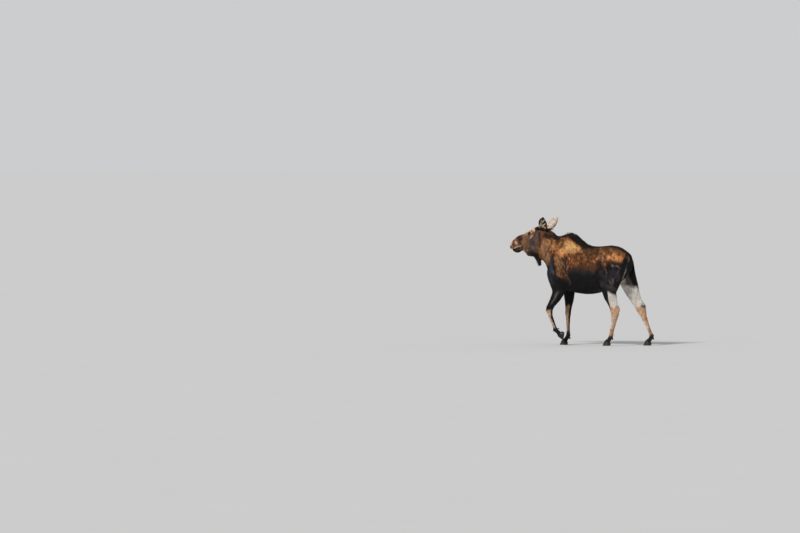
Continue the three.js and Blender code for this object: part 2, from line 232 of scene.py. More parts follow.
# Bone and muscle that show through, in millimetres: place, reach, height.
MUSCLES = [
    (-640, 98, 1848, 46, 30, 14, 8),  # brow
    (-705, 80, 1785, 40, 30, 22, -5),  # hollow before the eye
    (-580, 95, 1872, 40, 30, 26, -7),  # temple
    (-560, 95, 1610, 90, 60, 100, 8),  # cheek
    (-760, 60, 1650, 55, 40, 60, -9),  # behind the muzzle
    (-890, 68, 1660, 50, 40, 50, 7),  # muzzle
    (-850, 0, 1775, 90, 40, 40, 4),  # arched nose
    (-930, 60, 1592, 50, 40, 22, 5),  # hanging upper lip
    (-850, 40, 1510, 40, 40, 20, 5),  # chin
    (-668, 30, 1462, 45, 60, 30, 13),  # corner of the jaw
    (-250, 190, 1150, 65, 70, 70, 10),  # point of the shoulder
    (-85, 230, 1060, 80, 60, 90, 12),  # upper arm
    (-45, 190, 930, 45, 60, 50, 10),  # elbow
    (-20, 170, 1640, 80, 70, 80, 10),  # top of the shoulder blade
    (500, 240, 1420, 90, 70, 70, -16),  # hollow of the flank
    (585, 190, 1500, 45, 60, 35, 14),  # hip bone
    (740, 230, 1230, 120, 70, 140, 10),  # thigh
    (1000, 100, 1390, 40, 50, 45, 9),  # pin bone
    (620, 200, 920, 45, 60, 50, 9),  # stifle
]
# Ridges and grooves of both sides, in millimetres: from, to, reach, height.
RIDGES = [
    (-700, 85, 1752, -530, 105, 1800, 14, 7),  # cheek bone
    (-690, 70, 1500, -540, 90, 1470, 24, 5),  # jaw
    (-475, 110, 1720, -500, 100, 1480, 24, -7),  # behind the cheek
    (-470, 110, 1540, -310, 140, 1300, 30, -7),  # groove of the throat
    (-10, 160, 1640, -200, 220, 1270, 28, 8),  # ridge of the shoulder blade
    (-120, 150, 1680, -290, 180, 1330, 34, -8),  # before the shoulder
    (130, 200, 1560, 10, 250, 1100, 42, -12),  # behind the shoulder
    (930, 170, 1400, 865, 215, 1060, 26, -9),  # between the thigh muscles
    (545, 230, 1200, 575, 210, 960, 30, -10),  # fold of the flank
    (-160, 215, 1160, -60, 235, 980, 26, -8),  # below the shoulder
    (30, 230, 1140, 50, 180, 930, 22, -10),  # behind the elbow
]
# Tendons of each leg: its side, then in millimetres from, to, reach, height.
TENDONS = [
    (-1, -258, 460, -188, 320, 10, -3.5),
    (1, -38, 430, -34, 220, 10, -3.5),
    (-1, 806, 440, 756, 240, 10, -3.5),
    (1, 1222, 430, 1318, 220, 10, -3.5),
    (-1, 812, 740, 850, 640, 16, -9),
    (1, 1110, 780, 1195, 680, 16, -9),
    (-1, -180, 780, -255, 620, 14, -4),
    (1, -40, 740, -45, 580, 14, -4),
]
# Knees and hocks: side, then in millimetres place, reach, height.
JOINTS = [
    (-1, -318, 572, 30, 4),
    (-1, -240, 545, 18, 4),
    (1, -82, 515, 30, 4),
    (1, -8, 500, 18, 4),
    (-1, 880, 585, 22, 5),
    (1, 1240, 640, 22, 5),
]


def off_line(spot, a, b):
    """Distance from the stretch a to b, and how far along it."""
    a, b = np.array(a), np.array(b)
    along = np.clip((spot - a) @ (b - a) / ((b - a) @ (b - a)), 0, 1)
    return lengths(spot - a - along[:, None] * (b - a)), along


def coat_drop(p, n):
    return -coat_depth(*place_of(p))


def muscle_rise(p, n):
    x, y, z = place_of(p)
    spot = columns(x, np.abs(y), z)
    rise = np.zeros(len(p))
    for row in np.array(MUSCLES) / 1000:
        rise += row[6] * np.exp(-(((spot - row[:3]) / row[3:6]) ** 2).sum(axis=1))
    for row in np.array(RIDGES) / 1000:
        rise += row[7] * hill(off_line(spot, row[:3], row[3:6])[0], 0, row[6])
    ribs = hill(x, 0.28, 0.16) * hill(z, 1.25, 0.16) * above(np.abs(y), 0.1, 0.2)
    return rise + 0.0022 * ribs * np.sin((x - 0.12 * z) / 0.06 * 2 * math.pi)


def leg_rise(p, n):
    x, y, z = place_of(p)
    spot = columns(x, z)
    rise = np.zeros(len(p))
    for side, *row in TENDONS:
        row = np.array(row) / 1000
        far = off_line(spot, row[:2], row[2:4])[0]
        rise += (y * side > 0.02) * row[5] * hill(far, 0, row[4]) * np.abs(n[:, 1])
    for side, *row in JOINTS:
        row = np.array(row) / 1000
        rise += (y * side > 0.02) * row[3] * hill(lengths(spot - row[:2]), 0, row[2])
    return rise


def lip_rise(p, n):
    x, y, z = place_of(p)
    off = z - np.interp(x, *MOUTH)
    lips = 0.0035 * hill(off, 0.014, 0.008) + 0.003 * hill(off, -0.013, 0.008)
    lips = lips - 0.008 * hill(off, 0, 0.0045)
    far, along = off_line(columns(x, np.abs(y), z), *NOSTRIL)
    nose = -0.016 * hill(far, 0, 0.007 + 0.005 * along) + 0.005 * hill(far, 0.019, 0.007)
    return (lips * below(x, -0.79, -0.765) + nose) * (x < -0.7)


def eye_frame():
    """Directions out of the eye, along its opening and up across it."""
    out = LOOK / np.linalg.norm(LOOK)
    level = np.cross([0, 0, 1], out)
    level = level / np.linalg.norm(level)
    along = math.cos(LID_TILT) * level + math.sin(LID_TILT) * np.cross(out, level)
    return out, along, np.cross(out, along)


def draw_lids(p):
    """Draws the skin over the eyeball and opens it there in an almond."""
    x, y, z = place_of(p)
    out, along, up = eye_frame()
    flip = np.where(y < 0, -1.0, 1.0)
    spot = columns(x, y * flip, z) - EYE
    far = lengths(spot)
    close = (far < LID_REACH) & (spot @ out > 0)
    b = spot @ up
    ring = np.abs(spot @ along / OPEN_HALF) ** 1.7 + np.abs(b / np.where(b > 0, OPEN_UP, OPEN_DOWN)) ** 2
    ring = np.sqrt(ring)
    hold = below(ring, 1.25, 2.1)
    want = np.maximum(far, EYE_SIZE + LID) * (1 - hold) + (EYE_SIZE + LID) * hold
    want = want - 0.003 * hill(ring, 1.85, 0.25) * np.where(b > 0, 1.0, 0.6)
    want = np.where(ring < 1, EYE_SIZE - 0.0012 - 0.005 * above(1 - ring, 0, 0.3), want)
    spot = EYE + spot * np.where(close, want / np.maximum(far, 1e-6), 1)[:, None]
    return columns(spot[:, 0] + HUMP_X, spot[:, 1] * flip, spot[:, 2])


def near_eye(reach):
    return lambda x, y, z: lengths(columns(x, np.abs(y), z) - EYE - [-0.004, 0.014, 0]) < reach


hide = cast_hide()
finer_grid(hide.data, lambda x, y, z: (x < -0.745) & (z < 1.665))
finer_grid(hide.data, near_eye(LID_REACH))
finer_grid(hide.data, near_eye(0.04))
body = read_places(hide.data)
ends = edge_ends(hide.data)
x, y, z = place_of(body)
ease = 0.07 + 0.93 * (1 - head_share(x, z)) * (1 - low_leg_share(z))
ease = blend(ease, 0.05, bell_share(x, z))
ease = ease * (1 - 0.75 * below(np.abs(y), 0.05, 0.1) * above(z, 1.5, 1.6) * above(x, -0.5, -0.4))
body = even_out(body, ends, ease, 100, 1)
for rise in (coat_drop, muscle_rise, leg_rise, lip_rise):
    put_places(hide.data, body)
    out = read_places(hide.data, "normal")
    body = body + out * rise(body, out)[:, None]
body = relax(body, ends, 0.8 * below(np.abs(body[:, 0] - HUMP_X + 0.86), 0.09, 0.13), 2)
put_places(hide.data, draw_lids(body))

fine = hide.vertex_groups.new(name="fine")
x, y, z = place_of(read_places(hide.data))
share = np.maximum(0.7 * head_share(x, z), 0.5 * low_leg_share(z))
share = np.maximum(share, near_eye(LID_REACH)(x, y, z))
for level in range(11):
    picked = np.nonzero(np.round(share * 10) == level)[0]
    fine.add(picked.tolist(), level / 10, "REPLACE")
thin = hide.modifiers.new("thin", "DECIMATE")
thin.ratio = HIDE_FACES / sum(len(f.vertices) - 2 for f in hide.data.polygons)
thin.vertex_group = "fine"
thin.invert_vertex_group = True
thin.vertex_group_factor = 3.0
settle(hide)
hide.vertex_groups.clear()

# --------------------
# Ears. Each is a leaf of gristle, cupped at its root, with skin on both faces and
# a rolled rim. Its root is sunk in the head and its skin joins the hide.

# Each ear: root, tip, way it opens, widest half width, share of that at the root, cup.
EARS = [
    ((-0.43, -0.078, 1.862), (-0.372, -0.208, 2.068), (-0.25, -1.0, 0.1), 0.076, 0.86, 0.85),
    ((-0.398, 0.08, 1.862), (-0.23, 0.196, 2.066), (-0.6, 0.8, 0.1), 0.057, 0.56, 1.02),
]
EAR_WALL = 0.0045
EAR_STEPS = 34
EAR_TURNS = 20
EAR_SETS = []                    # root, direction, opening, side, length and half width of each


def ear_taper(t):
    """Share of its full width that an ear has at t of its length."""
    return 1 - np.clip((t - 0.45) / 0.565, 0, 1) ** 2


def ear_ring(t, wide, cup, wall):
    """Points round the ear at t of its length: across it and out of its opening."""
    turn = -math.pi / 2 + math.pi * np.arange(EAR_TURNS + 1) / EAR_TURNS
    rim = 1 + 0.1 * np.sin(math.pi * t) * np.abs(np.sin(turn)) ** 8
    outer = columns(wide * np.sin(turn) * rim, -cup * np.cos(turn))
    turn = turn[1:-1][::-1]
    inner = columns((wide - wall * 0.8) * np.sin(turn), -(cup - wall) * np.cos(turn))
    return np.concatenate([outer, inner])


def face_out(mesh):
    sewn = bmesh.new()
    sewn.from_mesh(mesh)
    bmesh.ops.recalc_face_normals(sewn, faces=sewn.faces)
    sewn.to_mesh(mesh)
    sewn.free()


def make_ears():
    points, faces = [], []
    for base, tip, opening, half, root, deep in EARS:
        base, tip, face = np.array(base), np.array(tip), np.array(opening)
        length = np.linalg.norm(tip - base)
        along = (tip - base) / length
        face = face - along * (face @ along)
        face = face / np.linalg.norm(face)
        across = np.cross(along, face)
        EAR_SETS.append((base, along, face, across, length, half))
        start = sum(len(p) for p in points)
        for k in range(EAR_STEPS + 1):
            t = k / EAR_STEPS
            leaf = 0.5 - 0.5 * math.cos(math.pi * min(t / 0.5, 1))
            wide = half * (root + (1 - root) * leaf) * ear_taper(t)
            ring = ear_ring(t, wide, wide * (deep - 0.55 * min(t / 0.6, 1)), min(EAR_WALL, wide * 0.5))
            spine = base + along * t * (length - 0.002) - face * 0.006 * math.sin(math.pi * t)
            points.append(spine + ring[:, :1] * across + ring[:, 1:] * face + [HUMP_X, 0, 0])
        n = len(ring)
        for low in range(start, start + EAR_STEPS * n, n):
            for i in range(n):
                j = (i + 1) % n
                faces.append((low + i, low + j, low + n + j, low + n + i))
        faces.append(tuple(start + i for i in reversed(range(n))))
        faces.append(tuple(start + EAR_STEPS * n + i for i in range(n)))
    mesh = bpy.data.meshes.new("ears")
    mesh.from_pydata(np.concatenate(points).tolist(), [], faces)
    face_out(mesh)
    return mesh


def join_to_hide(mesh):
    whole = bmesh.new()
    whole.from_mesh(hide.data)
    whole.from_mesh(mesh)
    hide.data = bpy.data.meshes.new("hide")
    whole.to_mesh(hide.data)
    whole.free()


def shade_smooth(mesh):
    mesh.polygons.foreach_set("use_smooth", np.ones(len(mesh.polygons), bool))


join_to_hide(make_ears())
shade_smooth(hide.data)

# --------------------
# Markings and painted light. Skin and coat are coloured alike: black belly, chest and thighs, a black crest
# and mane, gold on the shoulder and rump that is partly painted sunlight, and pale stockings. Painted
# highlights and sheen on face, chest, thighs and legs, and painted light and shade on the far ear, go into
# the same colours.

# Colours, as parts of 255. The gold and straw of the shoulder are its own golden tips lightened by painted
# sunlight.
BLACK = (11, 10, 12)
SLATE = (52, 49, 52)
MANE = (36, 23, 16)
RUST = (132, 78, 38)
UMBER = (80, 50, 30)
SUNLIT_GOLD = (226, 160, 98)
SUNLIT_STRAW = (234, 188, 128)
FAWN = (150, 108, 74)
CHEEK = (78, 64, 66)
FACE = (134, 100, 72)
TAN = (206, 166, 132)
CREAM = (250, 240, 232)
PINK = (226, 188, 160)
UNDERCOAT = 0.35                 # share of umber in the ground colours
HIND_FROM = 0.45                 # legs behind this place are hind legs

# Lengthwise place, and height of the edge between the brown back and the dark underside.
EDGE = [
    [-0.36, -0.29, -0.225, -0.185, -0.15, -0.09, -0.02, 0.02, 0.045, 0.16, 0.277, 0.37, 0.42,
     0.465, 0.5, 0.535, 0.58, 0.62, 0.65, 0.69, 0.72, 0.88, 0.93, 0.955, 1.0, 1.06],
    [1.3, 1.36, 1.43, 1.36, 1.14, 1.13, 1.09, 1.08, 1.245, 1.26, 1.27, 1.245, 1.225,
     1.2, 1.25, 1.37, 1.38, 1.31, 1.27, 1.31, 1.34, 1.335, 1.37, 1.43, 1.5, 1.6],
]
# Lengthwise place, and how deep the dark of the crest reaches.
CREST = [
    [-0.62, -0.55, -0.48, -0.38, -0.3, -0.235, -0.19, -0.12, 0.0, 0.12, 0.22, 0.34, 0.48, 0.9, 1.05],
    [0.0, 0.01, 0.018, 0.02, 0.028, 0.06, 0.085, 0.062, 0.085, 0.12, 0.105, 0.062, 0.034, 0.026, 0.09],
]
# Lengthwise place, and height of the back.
TOP = [
    [-0.62, -0.522, -0.344, -0.272, -0.181, -0.09, 0.0, 0.11, 0.217, 0.31, 0.398, 0.57, 0.743, 0.942, 1.048],
    [1.88, 1.927, 1.918, 1.848, 1.764, 1.8, 1.82, 1.775, 1.69, 1.63, 1.597, 1.612, 1.62, 1.546, 1.356],
]

# Patches laid over the ground: from and to as lengthwise place and height, reach and fade, all in
# millimetres, then the colour and its strength in hundredths. The first two lie under the dark of the belly.
# Some hold painted sunlight and painted highlights, as noted beside them.
PATCHES = [
    (50, 1600, 400, 1520, 100, 100, UMBER, 55),  # under the ridge
    (100, 1400, 420, 1340, 70, 80, RUST, 75),  # flank
    (280, 1280, 480, 1300, 50, 60, UMBER, 60),
    (60, 1210, 460, 1190, 20, 50, SLATE, 50),
    (-300, 1620, -220, 1480, 70, 90, RUST, 80),  # side of the neck
    (-420, 1550, -360, 1360, 50, 70, FAWN, 75),  # throat
    (-360, 1660, -240, 1600, 30, 60, FAWN, 60),
    (-215, 1430, -190, 1100, 30, 40, (30, 28, 32), 85),  # before the shoulder
    (-280, 1435, -235, 1330, 20, 40, (44, 38, 34), 85),
    (-390, 1620, -340, 1420, 45, 60, (148, 112, 82), 60),
    (30, 1660, 120, 1600, 60, 85, SUNLIT_GOLD, 95),  # shoulder, its gold partly painted sunlight
    (0, 1610, -60, 1520, 50, 60, SUNLIT_GOLD, 85),
    (-60, 1520, -95, 1330, 30, 50, SUNLIT_GOLD, 75),
    (-100, 1330, -85, 1160, 28, 45, FAWN, 85),
    # straw on top of the shoulder: the painted sunlight at its brightest
    (0, 1620, 130, 1560, 30, 60, SUNLIT_STRAW, 70),
    (160, 1580, 200, 1550, 20, 50, SUNLIT_GOLD, 70),
    (-35, 1400, -50, 1180, 30, 40, UMBER, 70),  # upper arm
    (-30, 1460, -5, 1220, 8, 22, (48, 32, 28), 75),  # its rear edge
    (10, 1240, 68, 990, 2, 20, (132, 104, 98), 50),
    (-170, 1600, -140, 1420, 20, 40, (186, 122, 72), 80),  # before the shoulder blade
    (-335, 1630, -230, 1615, 10, 30, (206, 140, 84), 60),
    (-370, 1845, -320, 1835, 12, 18, (124, 90, 68), 70),  # behind the ear
    (600, 1500, 620, 1440, 50, 60, FAWN, 60),  # loin
    (680, 1500, 860, 1480, 60, 70, RUST, 90),  # rump
    (320, 1565, 620, 1575, 24, 45, (84, 52, 32), 80),
    (620, 1575, 900, 1530, 30, 45, (84, 50, 30), 85),
    # gold of the rump, partly painted sunlight
    (710, 1430, 880, 1415, 24, 42, (232, 156, 96), 90),
    (620, 1340, 655, 1250, 12, 30, (104, 54, 36), 75),
    (900, 1520, 950, 1470, 20, 50, RUST, 70),
    (785, 1305, 865, 1285, 6, 14, (156, 138, 132), 60),  # folds of the thigh: pale streaks, the upper one a painted highlight
    (660, 1250, 685, 1190, 4, 12, (150, 122, 122), 40),
    (885, 1270, 855, 1130, 4, 12, (120, 98, 96), 50),
    (700, 960, 780, 930, 20, 50, (84, 80, 80), 70),
    (800, 1200, 860, 1120, 20, 50, SLATE, 70),
    (620, 1160, 720, 1080, 20, 60, SLATE, 60),
    (600, 1020, 700, 900, 30, 60, SLATE, 90),  # stifle
    (-250, 1120, -220, 1020, 20, 50, SLATE, 80),  # chest
    (-450, 1820, -465, 1600, 12, 25, (70, 42, 44), 85),
    (-505, 1700, -500, 1520, 15, 30, FAWN, 50),
    (-405, 1790, -400, 1660, 12, 30, FAWN, 70),
]
HEAD_PATCHES = [
    (-720, 1790, -800, 1620, 60, 60, FACE, 90),
    (-592, 1700, -590, 1520, 34, 45, CHEEK, 95),  # cheek
    (-575, 1600, -572, 1575, 12, 25, (124, 108, 112), 60),
    (-630, 1500, -560, 1485, 20, 30, (36, 28, 28), 85),
    (-680, 1570, -645, 1562, 8, 20, (60, 46, 38), 70),
    (-545, 1820, -545, 1770, 12, 22, (76, 70, 60), 70),
    (-505, 1800, -500, 1720, 12, 22, (116, 94, 94), 75),
    (-468, 1810, -466, 1700, 12, 20, (56, 28, 36), 85),
    (-535, 1885, -530, 1840, 7, 14, (58, 27, 18), 90),  # behind the brow
    (-660, 1490, -560, 1460, 20, 30, (34, 27, 26), 80),
    (-835, 1755, -795, 1720, 26, 30, (50, 30, 19), 95),  # behind the nose
    (-810, 1690, -800, 1640, 12, 22, (56, 33, 22), 85),
    (-780, 1775, -750, 1785, 12, 20, (92, 62, 36), 70),
    (-905, 1700, -945, 1610, 20, 25, (168, 104, 62), 90),  # front of the nose, its tan lightened as a painted highlight
    (-905, 1680, -893, 1600, 8, 16, (88, 46, 22), 80),
    # two pale spots on the nose: painted highlights
    (-936, 1650, -953, 1602, 6, 12, (240, 206, 176), 90),
    (-862, 1658, -852, 1640, 11, 16, (212, 184, 170), 85),
    (-740, 1770, -690, 1800, 12, 20, TAN, 50),
    (-665, 1850, -575, 1900, 20, 22, (222, 170, 132), 100),  # brow: painted highlight in peach, the brightest last
    (-610, 1835, -585, 1860, 14, 20, (210, 160, 122), 80),
    (-578, 1880, -556, 1850, 9, 14, (250, 214, 188), 90),
    (-603, 1838, -580, 1834, 3, 9, (120, 64, 40), 60),
    (-648, 1770, -622, 1745, 9, 15, (74, 62, 48), 80),  # under the eye
    (-620, 1741, -578, 1778, 5, 11, (214, 172, 148), 85),
    (-655, 1785, -665, 1800, 4, 10, (190, 156, 128), 60),
    (-905, 1558, -850, 1594, 6, 10, (228, 186, 162), 90),  # upper lip: its pale edge is a painted highlight
    (-850, 1594, -780, 1602, 5, 10, (216, 178, 156), 85),
    (-865, 1574, -800, 1580, 4, 7, (54, 32, 26), 80),
    (-905, 1530, -800, 1520, 16, 20, (24, 20, 21), 100),  # lower lip, black; the mauve after it is a painted highlight
    (-860, 1535, -835, 1525, 3, 9, (104, 92, 100), 60),
    (-775, 1590, -765, 1560, 8, 12, (36, 24, 19), 90),  # corner of the mouth
    (-765, 1545, -755, 1500, 10, 14, (30, 22, 20), 90),
    (-748, 1535, -737, 1520, 5, 9, CREAM, 75),
    (-962, 1572, -945, 1560, 9, 12, (16, 10, 9), 100),  # tip of the nose
    (-600, 1480, -500, 1440, 18, 30, (40, 30, 28), 90),
]


def grain(p, size, seed):
    """Smooth random values from -1 to 1 that change over about size."""
    q = p / size + seed * 7.31
    cell = np.floor(q).astype(np.int64)
    f = q - cell
    f = f * f * (3 - 2 * f)
    total = np.zeros(len(p))
    for k in range(8):
        corner = np.array([k & 1, k >> 1 & 1, k >> 2 & 1])
        c = cell + corner
        mixed = c[:, 0] * 73856093 ^ c[:, 1] * 19349663 ^ c[:, 2] * 83492791
        mixed = (mixed * 1103515245 + 12345) & 0x7fffffff
        mixed = (mixed ^ mixed >> 13) * 1274126177 & 0x7fffffff
        total += np.prod(np.where(corner == 1, f, 1 - f), axis=1) * (mixed / 0x7fffffff)
    return total * 2 - 1


def streaks(p, size, seed, low, high):
    """Upright streaks of about size, 1 where the grain is over high."""
    return above(grain(p * [1, 1, 0.4], size, seed), low, high)


def linear_colour(shade):
    """A colour as the shader takes it: a pigment, painted sunlight or a painted highlight."""
    c = np.array(shade) / 255
    return np.where(c < 0.04045, c / 12.92, ((c + 0.055) / 1.055) ** 2.4)


def filled_with(p, shade):
    return np.tile(linear_colour(shade), (len(p), 1))


def lay(colour, share, shade):
    """Lays a share of one colour, or of other colours, over the colours."""
    shade = linear_colour(shade) if isinstance(shade, tuple) else shade
    return colour + (shade - colour) * np.asarray(share)[..., None]


def lay_all(colour, on, *coats):
    for share, shade in coats:
        colour = lay(colour, on * share, shade)
    return colour


def lay_patches(colour, spot, patches, on):
    for *row, shade, strength in patches:
        row = np.array(row) / 1000
        far = off_line(spot, row[:2], row[2:4])[0]
        reach, fade = row[4:]
        colour = lay(colour, strength / 100 * on * below(far, reach - 0.3 * fade, reach + fade), shade)
    return colour


def leg_lines():
    """Middle, half depth and sideways place of each leg by height, read from the hide."""
    x, y, z = place_of(read_places(hide.data))
    levels, top = np.arange(0.04, 0.84, 0.02), 1.06
    lines = {}
    for side in (-1, 1):
        for hind in (False, True):
            rows = []
            for level in levels:
                picked = (y * side > 0.03) & ((x > HIND_FROM) == hind) & (np.abs(z - level) < 0.011)
                low, high = (x[picked].min(), x[picked].max()) if picked.any() else (0, 1)
                rows.append(((low + high) / 2, (high - low) / 2, y[picked].mean() if picked.any() else 0))
            rows = np.array(rows)
            middle = (rows[-1] + (rows[-1] - rows[-6]) / (levels[-1] - levels[-6]) * (top - levels[-1]))[0]
            rows = np.vstack([rows, [middle, rows[-1, 1] * 1.4, rows[-1, 2]]])
            lines[side, hind] = np.append(levels, top), rows
    return lines


LEG_LINES = leg_lines()


def stocking(fore, inner, level, wander, p, near):
    """Colours of a hind leg: pale behind and inside, black down the front to the hock, and cream down the
    front of the shank as a painted highlight.
    """
    top = 0.885 + 0.1 * inner - 0.03 * fore + 2.2 * wander - 0.05 * np.abs(fore - 0.1) * (1 - inner)
    top = top + inner * below(fore, -0.75, -0.35) * 0.09
    edge = -0.12 - 0.5 * below(level, 0.62, 0.86) - 0.75 * inner
    front = below(fore, edge - 0.12, edge + 0.12)
    rusty = above(grain(p * [1, 1, 0.5], 0.035, 14), 0.05, 0.6) * above(level, 0.36, 0.44)
    hock = hill(p[:, 2], 0.635, 0.034) * above(fore, 0.0, 0.45)
    return (
        (below(level, top - 0.05, top + 0.03) * (1 - front), CREAM),
        (front * above(level, 0.56, 0.64) * 0.95 * below(level, 0.9, 1.0), BLACK),
        (below(level, 0.575, 0.665), TAN),
        (rusty * 0.55 * below(level, 0.6, 0.68), (186, 128, 84)),
        # cream down the front of the shank: a painted highlight
        (0.45 * below(level, 0.4, 0.56) * below(fore, -0.4, 0.3), CREAM),
        (0.45 * below(level, 0.42, 0.6) * above(fore, 0.1, 0.9), FAWN),
        (hock * (0.25 if near else 0.9), (30, 20, 17)),
        (below(level, 0.235, 0.3) * 0.5, FAWN),
        (below(level, 0.15, 0.2), (46, 36, 32)),
    )


def foreleg(fore, inner, level, wander, p, near):
    """Colours of a foreleg: black with a painted sheen down the front of the forearm, the near one with a
    pale knee and a pale stripe down the shank, the far one tan below the knee, where a tongue of tan runs up
    into the black, and a painted highlight on the front of its knee."""
    z = p[:, 2]
    # sheen: a painted highlight down the front of the forearm
    sheen = hill(fore, -0.1, 0.2) * above(level, 0.62, 0.72) * below(level, 0.84, 0.92)
    both = (below(level, 0.96, 1.0), BLACK), (sheen * 0.7 * (1 - inner), (124, 116, 114))
    if near:
        knee = below(level - 0.018 * fore, 0.545, 0.585) * above(level, 0.46, 0.5) * below(fore, 0.3, 0.75)
        stripe = below(level, 0.48, 0.52) * above(level, 0.25, 0.3)
        stripe = stripe * hill(fore, np.interp(z, [0.27, 0.47], [-0.05, -0.45]), 0.36)
        return (
            *both, (knee * (1 - 0.6 * inner), (212, 172, 136)),
            (stripe * (1 - 0.6 * inner), (230, 196, 176)), (below(level, 0.25, 0.29), (20, 18, 21)),
        )
    tongue = 0.665 - 0.05 * np.abs(fore - 0.1) + 1.5 * wander
    tan = below(level, tongue - 0.03, tongue + 0.02) * above(level, 0.19, 0.25) * below(fore, 0.25, 0.65)
    tan = tan * np.maximum(above(fore, -0.95, -0.6), below(level, 0.53, 0.59))
    return (
        *both, (tan, (196, 156, 122)),
        # pale band on the front of the far knee: a painted highlight
        (hill(z, 0.46, 0.05) * below(fore, 0.1, 0.5) * 0.7, (238, 202, 154)),
        (tan * 0.4 * below(level, 0.3, 0.4), FAWN), (below(level, 0.195, 0.245), (24, 21, 23)),
    )


def leg_dyes_and_painted_light(colour, p, n, wander):
    x, y, z = place_of(p)
    for (side, hind), (levels, rows) in LEG_LINES.items():
        on = (y * side > 0) & ((x > HIND_FROM) == hind) & (z < (1.08 if hind else 0.99))
        middle = np.interp(z, levels, rows[:, 0])
        half = np.interp(z, levels, rows[:, 1])
        fore = np.clip((x - middle) / np.maximum(half, 0.01), -1.3, 1.3) + wander * 6
        inner = above(-n[:, 1] * side, -0.25, 0.35)
        level = z + wander
        dyes = (stocking if hind else foreleg)(fore, inner, level, wander, p, side < 0)
        colour = lay_all(colour, on, *dyes)
    return colour


def ear_spot(p, which):
    """Place along an ear, across it and out of its opening, and which points are its own."""
    base, along, face, across, length = EAR_SETS[which][:5]
    d = p - base - [HUMP_X, 0, 0]
    t, wide, out = d @ along / length, d @ across, d @ face
    on = (np.abs(wide) < 0.09) & (np.abs(out) < 0.1)
    on = on & (p[:, 1] * (2 * which - 1) > 0.04) & (p[:, 2] > 1.885)
    return t, wide, out, on


def near_lining(p, t, wide):
    """Dark, with two slanting pale bars and a pale thread by the front rim."""
    first = hill(wide, 0.002 + 0.15 * (t - 0.68), 0.01) * above(t, 0.46, 0.56) * below(t, 0.82, 0.92)
    second = hill(wide, 0.018 + 0.2 * (t - 0.42), 0.011) * above(t, 0.22, 0.32) * below(t, 0.54, 0.64)
    thread = hill(wide, -0.042 + 0.06 * (t - 0.5), 0.007) * above(t, 0.2, 0.3) * below(t, 0.6, 0.7)
    return lay_all(
        filled_with(p, (40, 30, 25)), 1, (above(-wide, 0.012, 0.034) * 0.8, (116, 106, 82)),
        (np.clip(first + second + 0.6 * thread, 0, 1) * 0.97, (255, 240, 204)),
    )


def ear_dyes_and_painted_light(colour, p, n, wander):
    for which in range(2):
        t, wide, out, on = ear_spot(p, which)
        face, half = EAR_SETS[which][2], EAR_SETS[which][5]
        inside = above(n @ face, -0.15, 0.25)
        reach = np.abs(wide) / half
        rim = above(reach / np.maximum(ear_taper(t), 0.1), 0.74, 0.96)
        threads = above(grain(columns(wide, out, t * 0.05), 0.008, 21), 0.0, 0.6)
        ear = lay_all(
            filled_with(p, (252, 226, 204) if which else (186, 156, 132)), 1, (threads * 0.45, (176, 136, 112)),
            (above(reach, 0.5, 1.0) * 0.35, (140, 108, 88)),
        )
        # The far ear's pale back and pink lining are its own colour lightened by painted sunlight shining
        # through it; its dark rear rim is painted shade.
        if which:
            bands = above(np.sin(wide * 330 + 6 * t + 40 * wander), -0.2, 0.7)
            lining = lay(filled_with(p, PINK), bands * 0.4, (240, 224, 196))
            rim, fluff = rim * above(-wide, -0.02, 0.03), 0.5 + 0.5 * inside
        else:
            lining, fluff = near_lining(p, t, wide), inside
        ear = lay_all(
            ear, 1, (inside, lining), (rim * 0.9, (30, 21, 18)),
            (below(t, 0.16, 0.32) * fluff * 0.9, (236, 222, 190)),
        )
        colour = lay(colour, on * above(t, 0.06, 0.16), ear)
    return colour


def rear_dyes(colour, p, n, wander, drift):
    """Black behind, with the pale fringe of the buttocks and the grey inner thighs."""
    x, y, z = place_of(p)
    side = np.abs(y)
    apart = np.where(y < 0, np.interp(z, [1.08, 1.19, 1.34], [0.045, 0.11, 0.12]), 0.052)
    fringe = below(np.abs(side + 0.5 * drift - apart), 0.003, 0.02) * above(z, 1.05, 1.1)
    fringe = fringe * (1 - 0.9 * above(z, 1.18, 1.36)) * above(x, 0.86, 0.92)
    tuft = below(off_line(columns(side + 0.4 * drift, z), (0.085, 1.44), (0.11, 1.38))[0], 0.006, 0.02)
    inner = above(-n[:, 1] * np.sign(y), -0.1, 0.4) * above(side, 0.02, 0.05) * above(x, 0.8, 0.84)
    inner = inner * above(z, 0.86, 0.92)
    grey = below(x + 0.57 * (z - 1.15) + 0.5 * drift, 0.93, 0.98) * inner * below(z + wander, 1.1, 1.16)
    pale = inner * below(x + drift - 0.22 * (z - 1.0), 0.885, 0.92) * below(z + wander, 1.06, 1.11)
    return lay_all(
        colour, 1, (above(x, 0.96, 1.03) * below(z, 1.52, 1.6) * 0.85, BLACK),
        (fringe * 0.9, lay(filled_with(p, (216, 202, 184)), above(z, 1.18, 1.3), (128, 120, 108))),
        (tuft * above(x, 0.9, 0.95) * 0.7, (120, 112, 92)),
        (grey * 0.9, (122, 116, 100)),
        (grey * streaks(p, 0.024, 15, 0.0, 0.6) * 0.7, (54, 50, 44)),
        (pale * 0.95, (236, 222, 204)),
    )


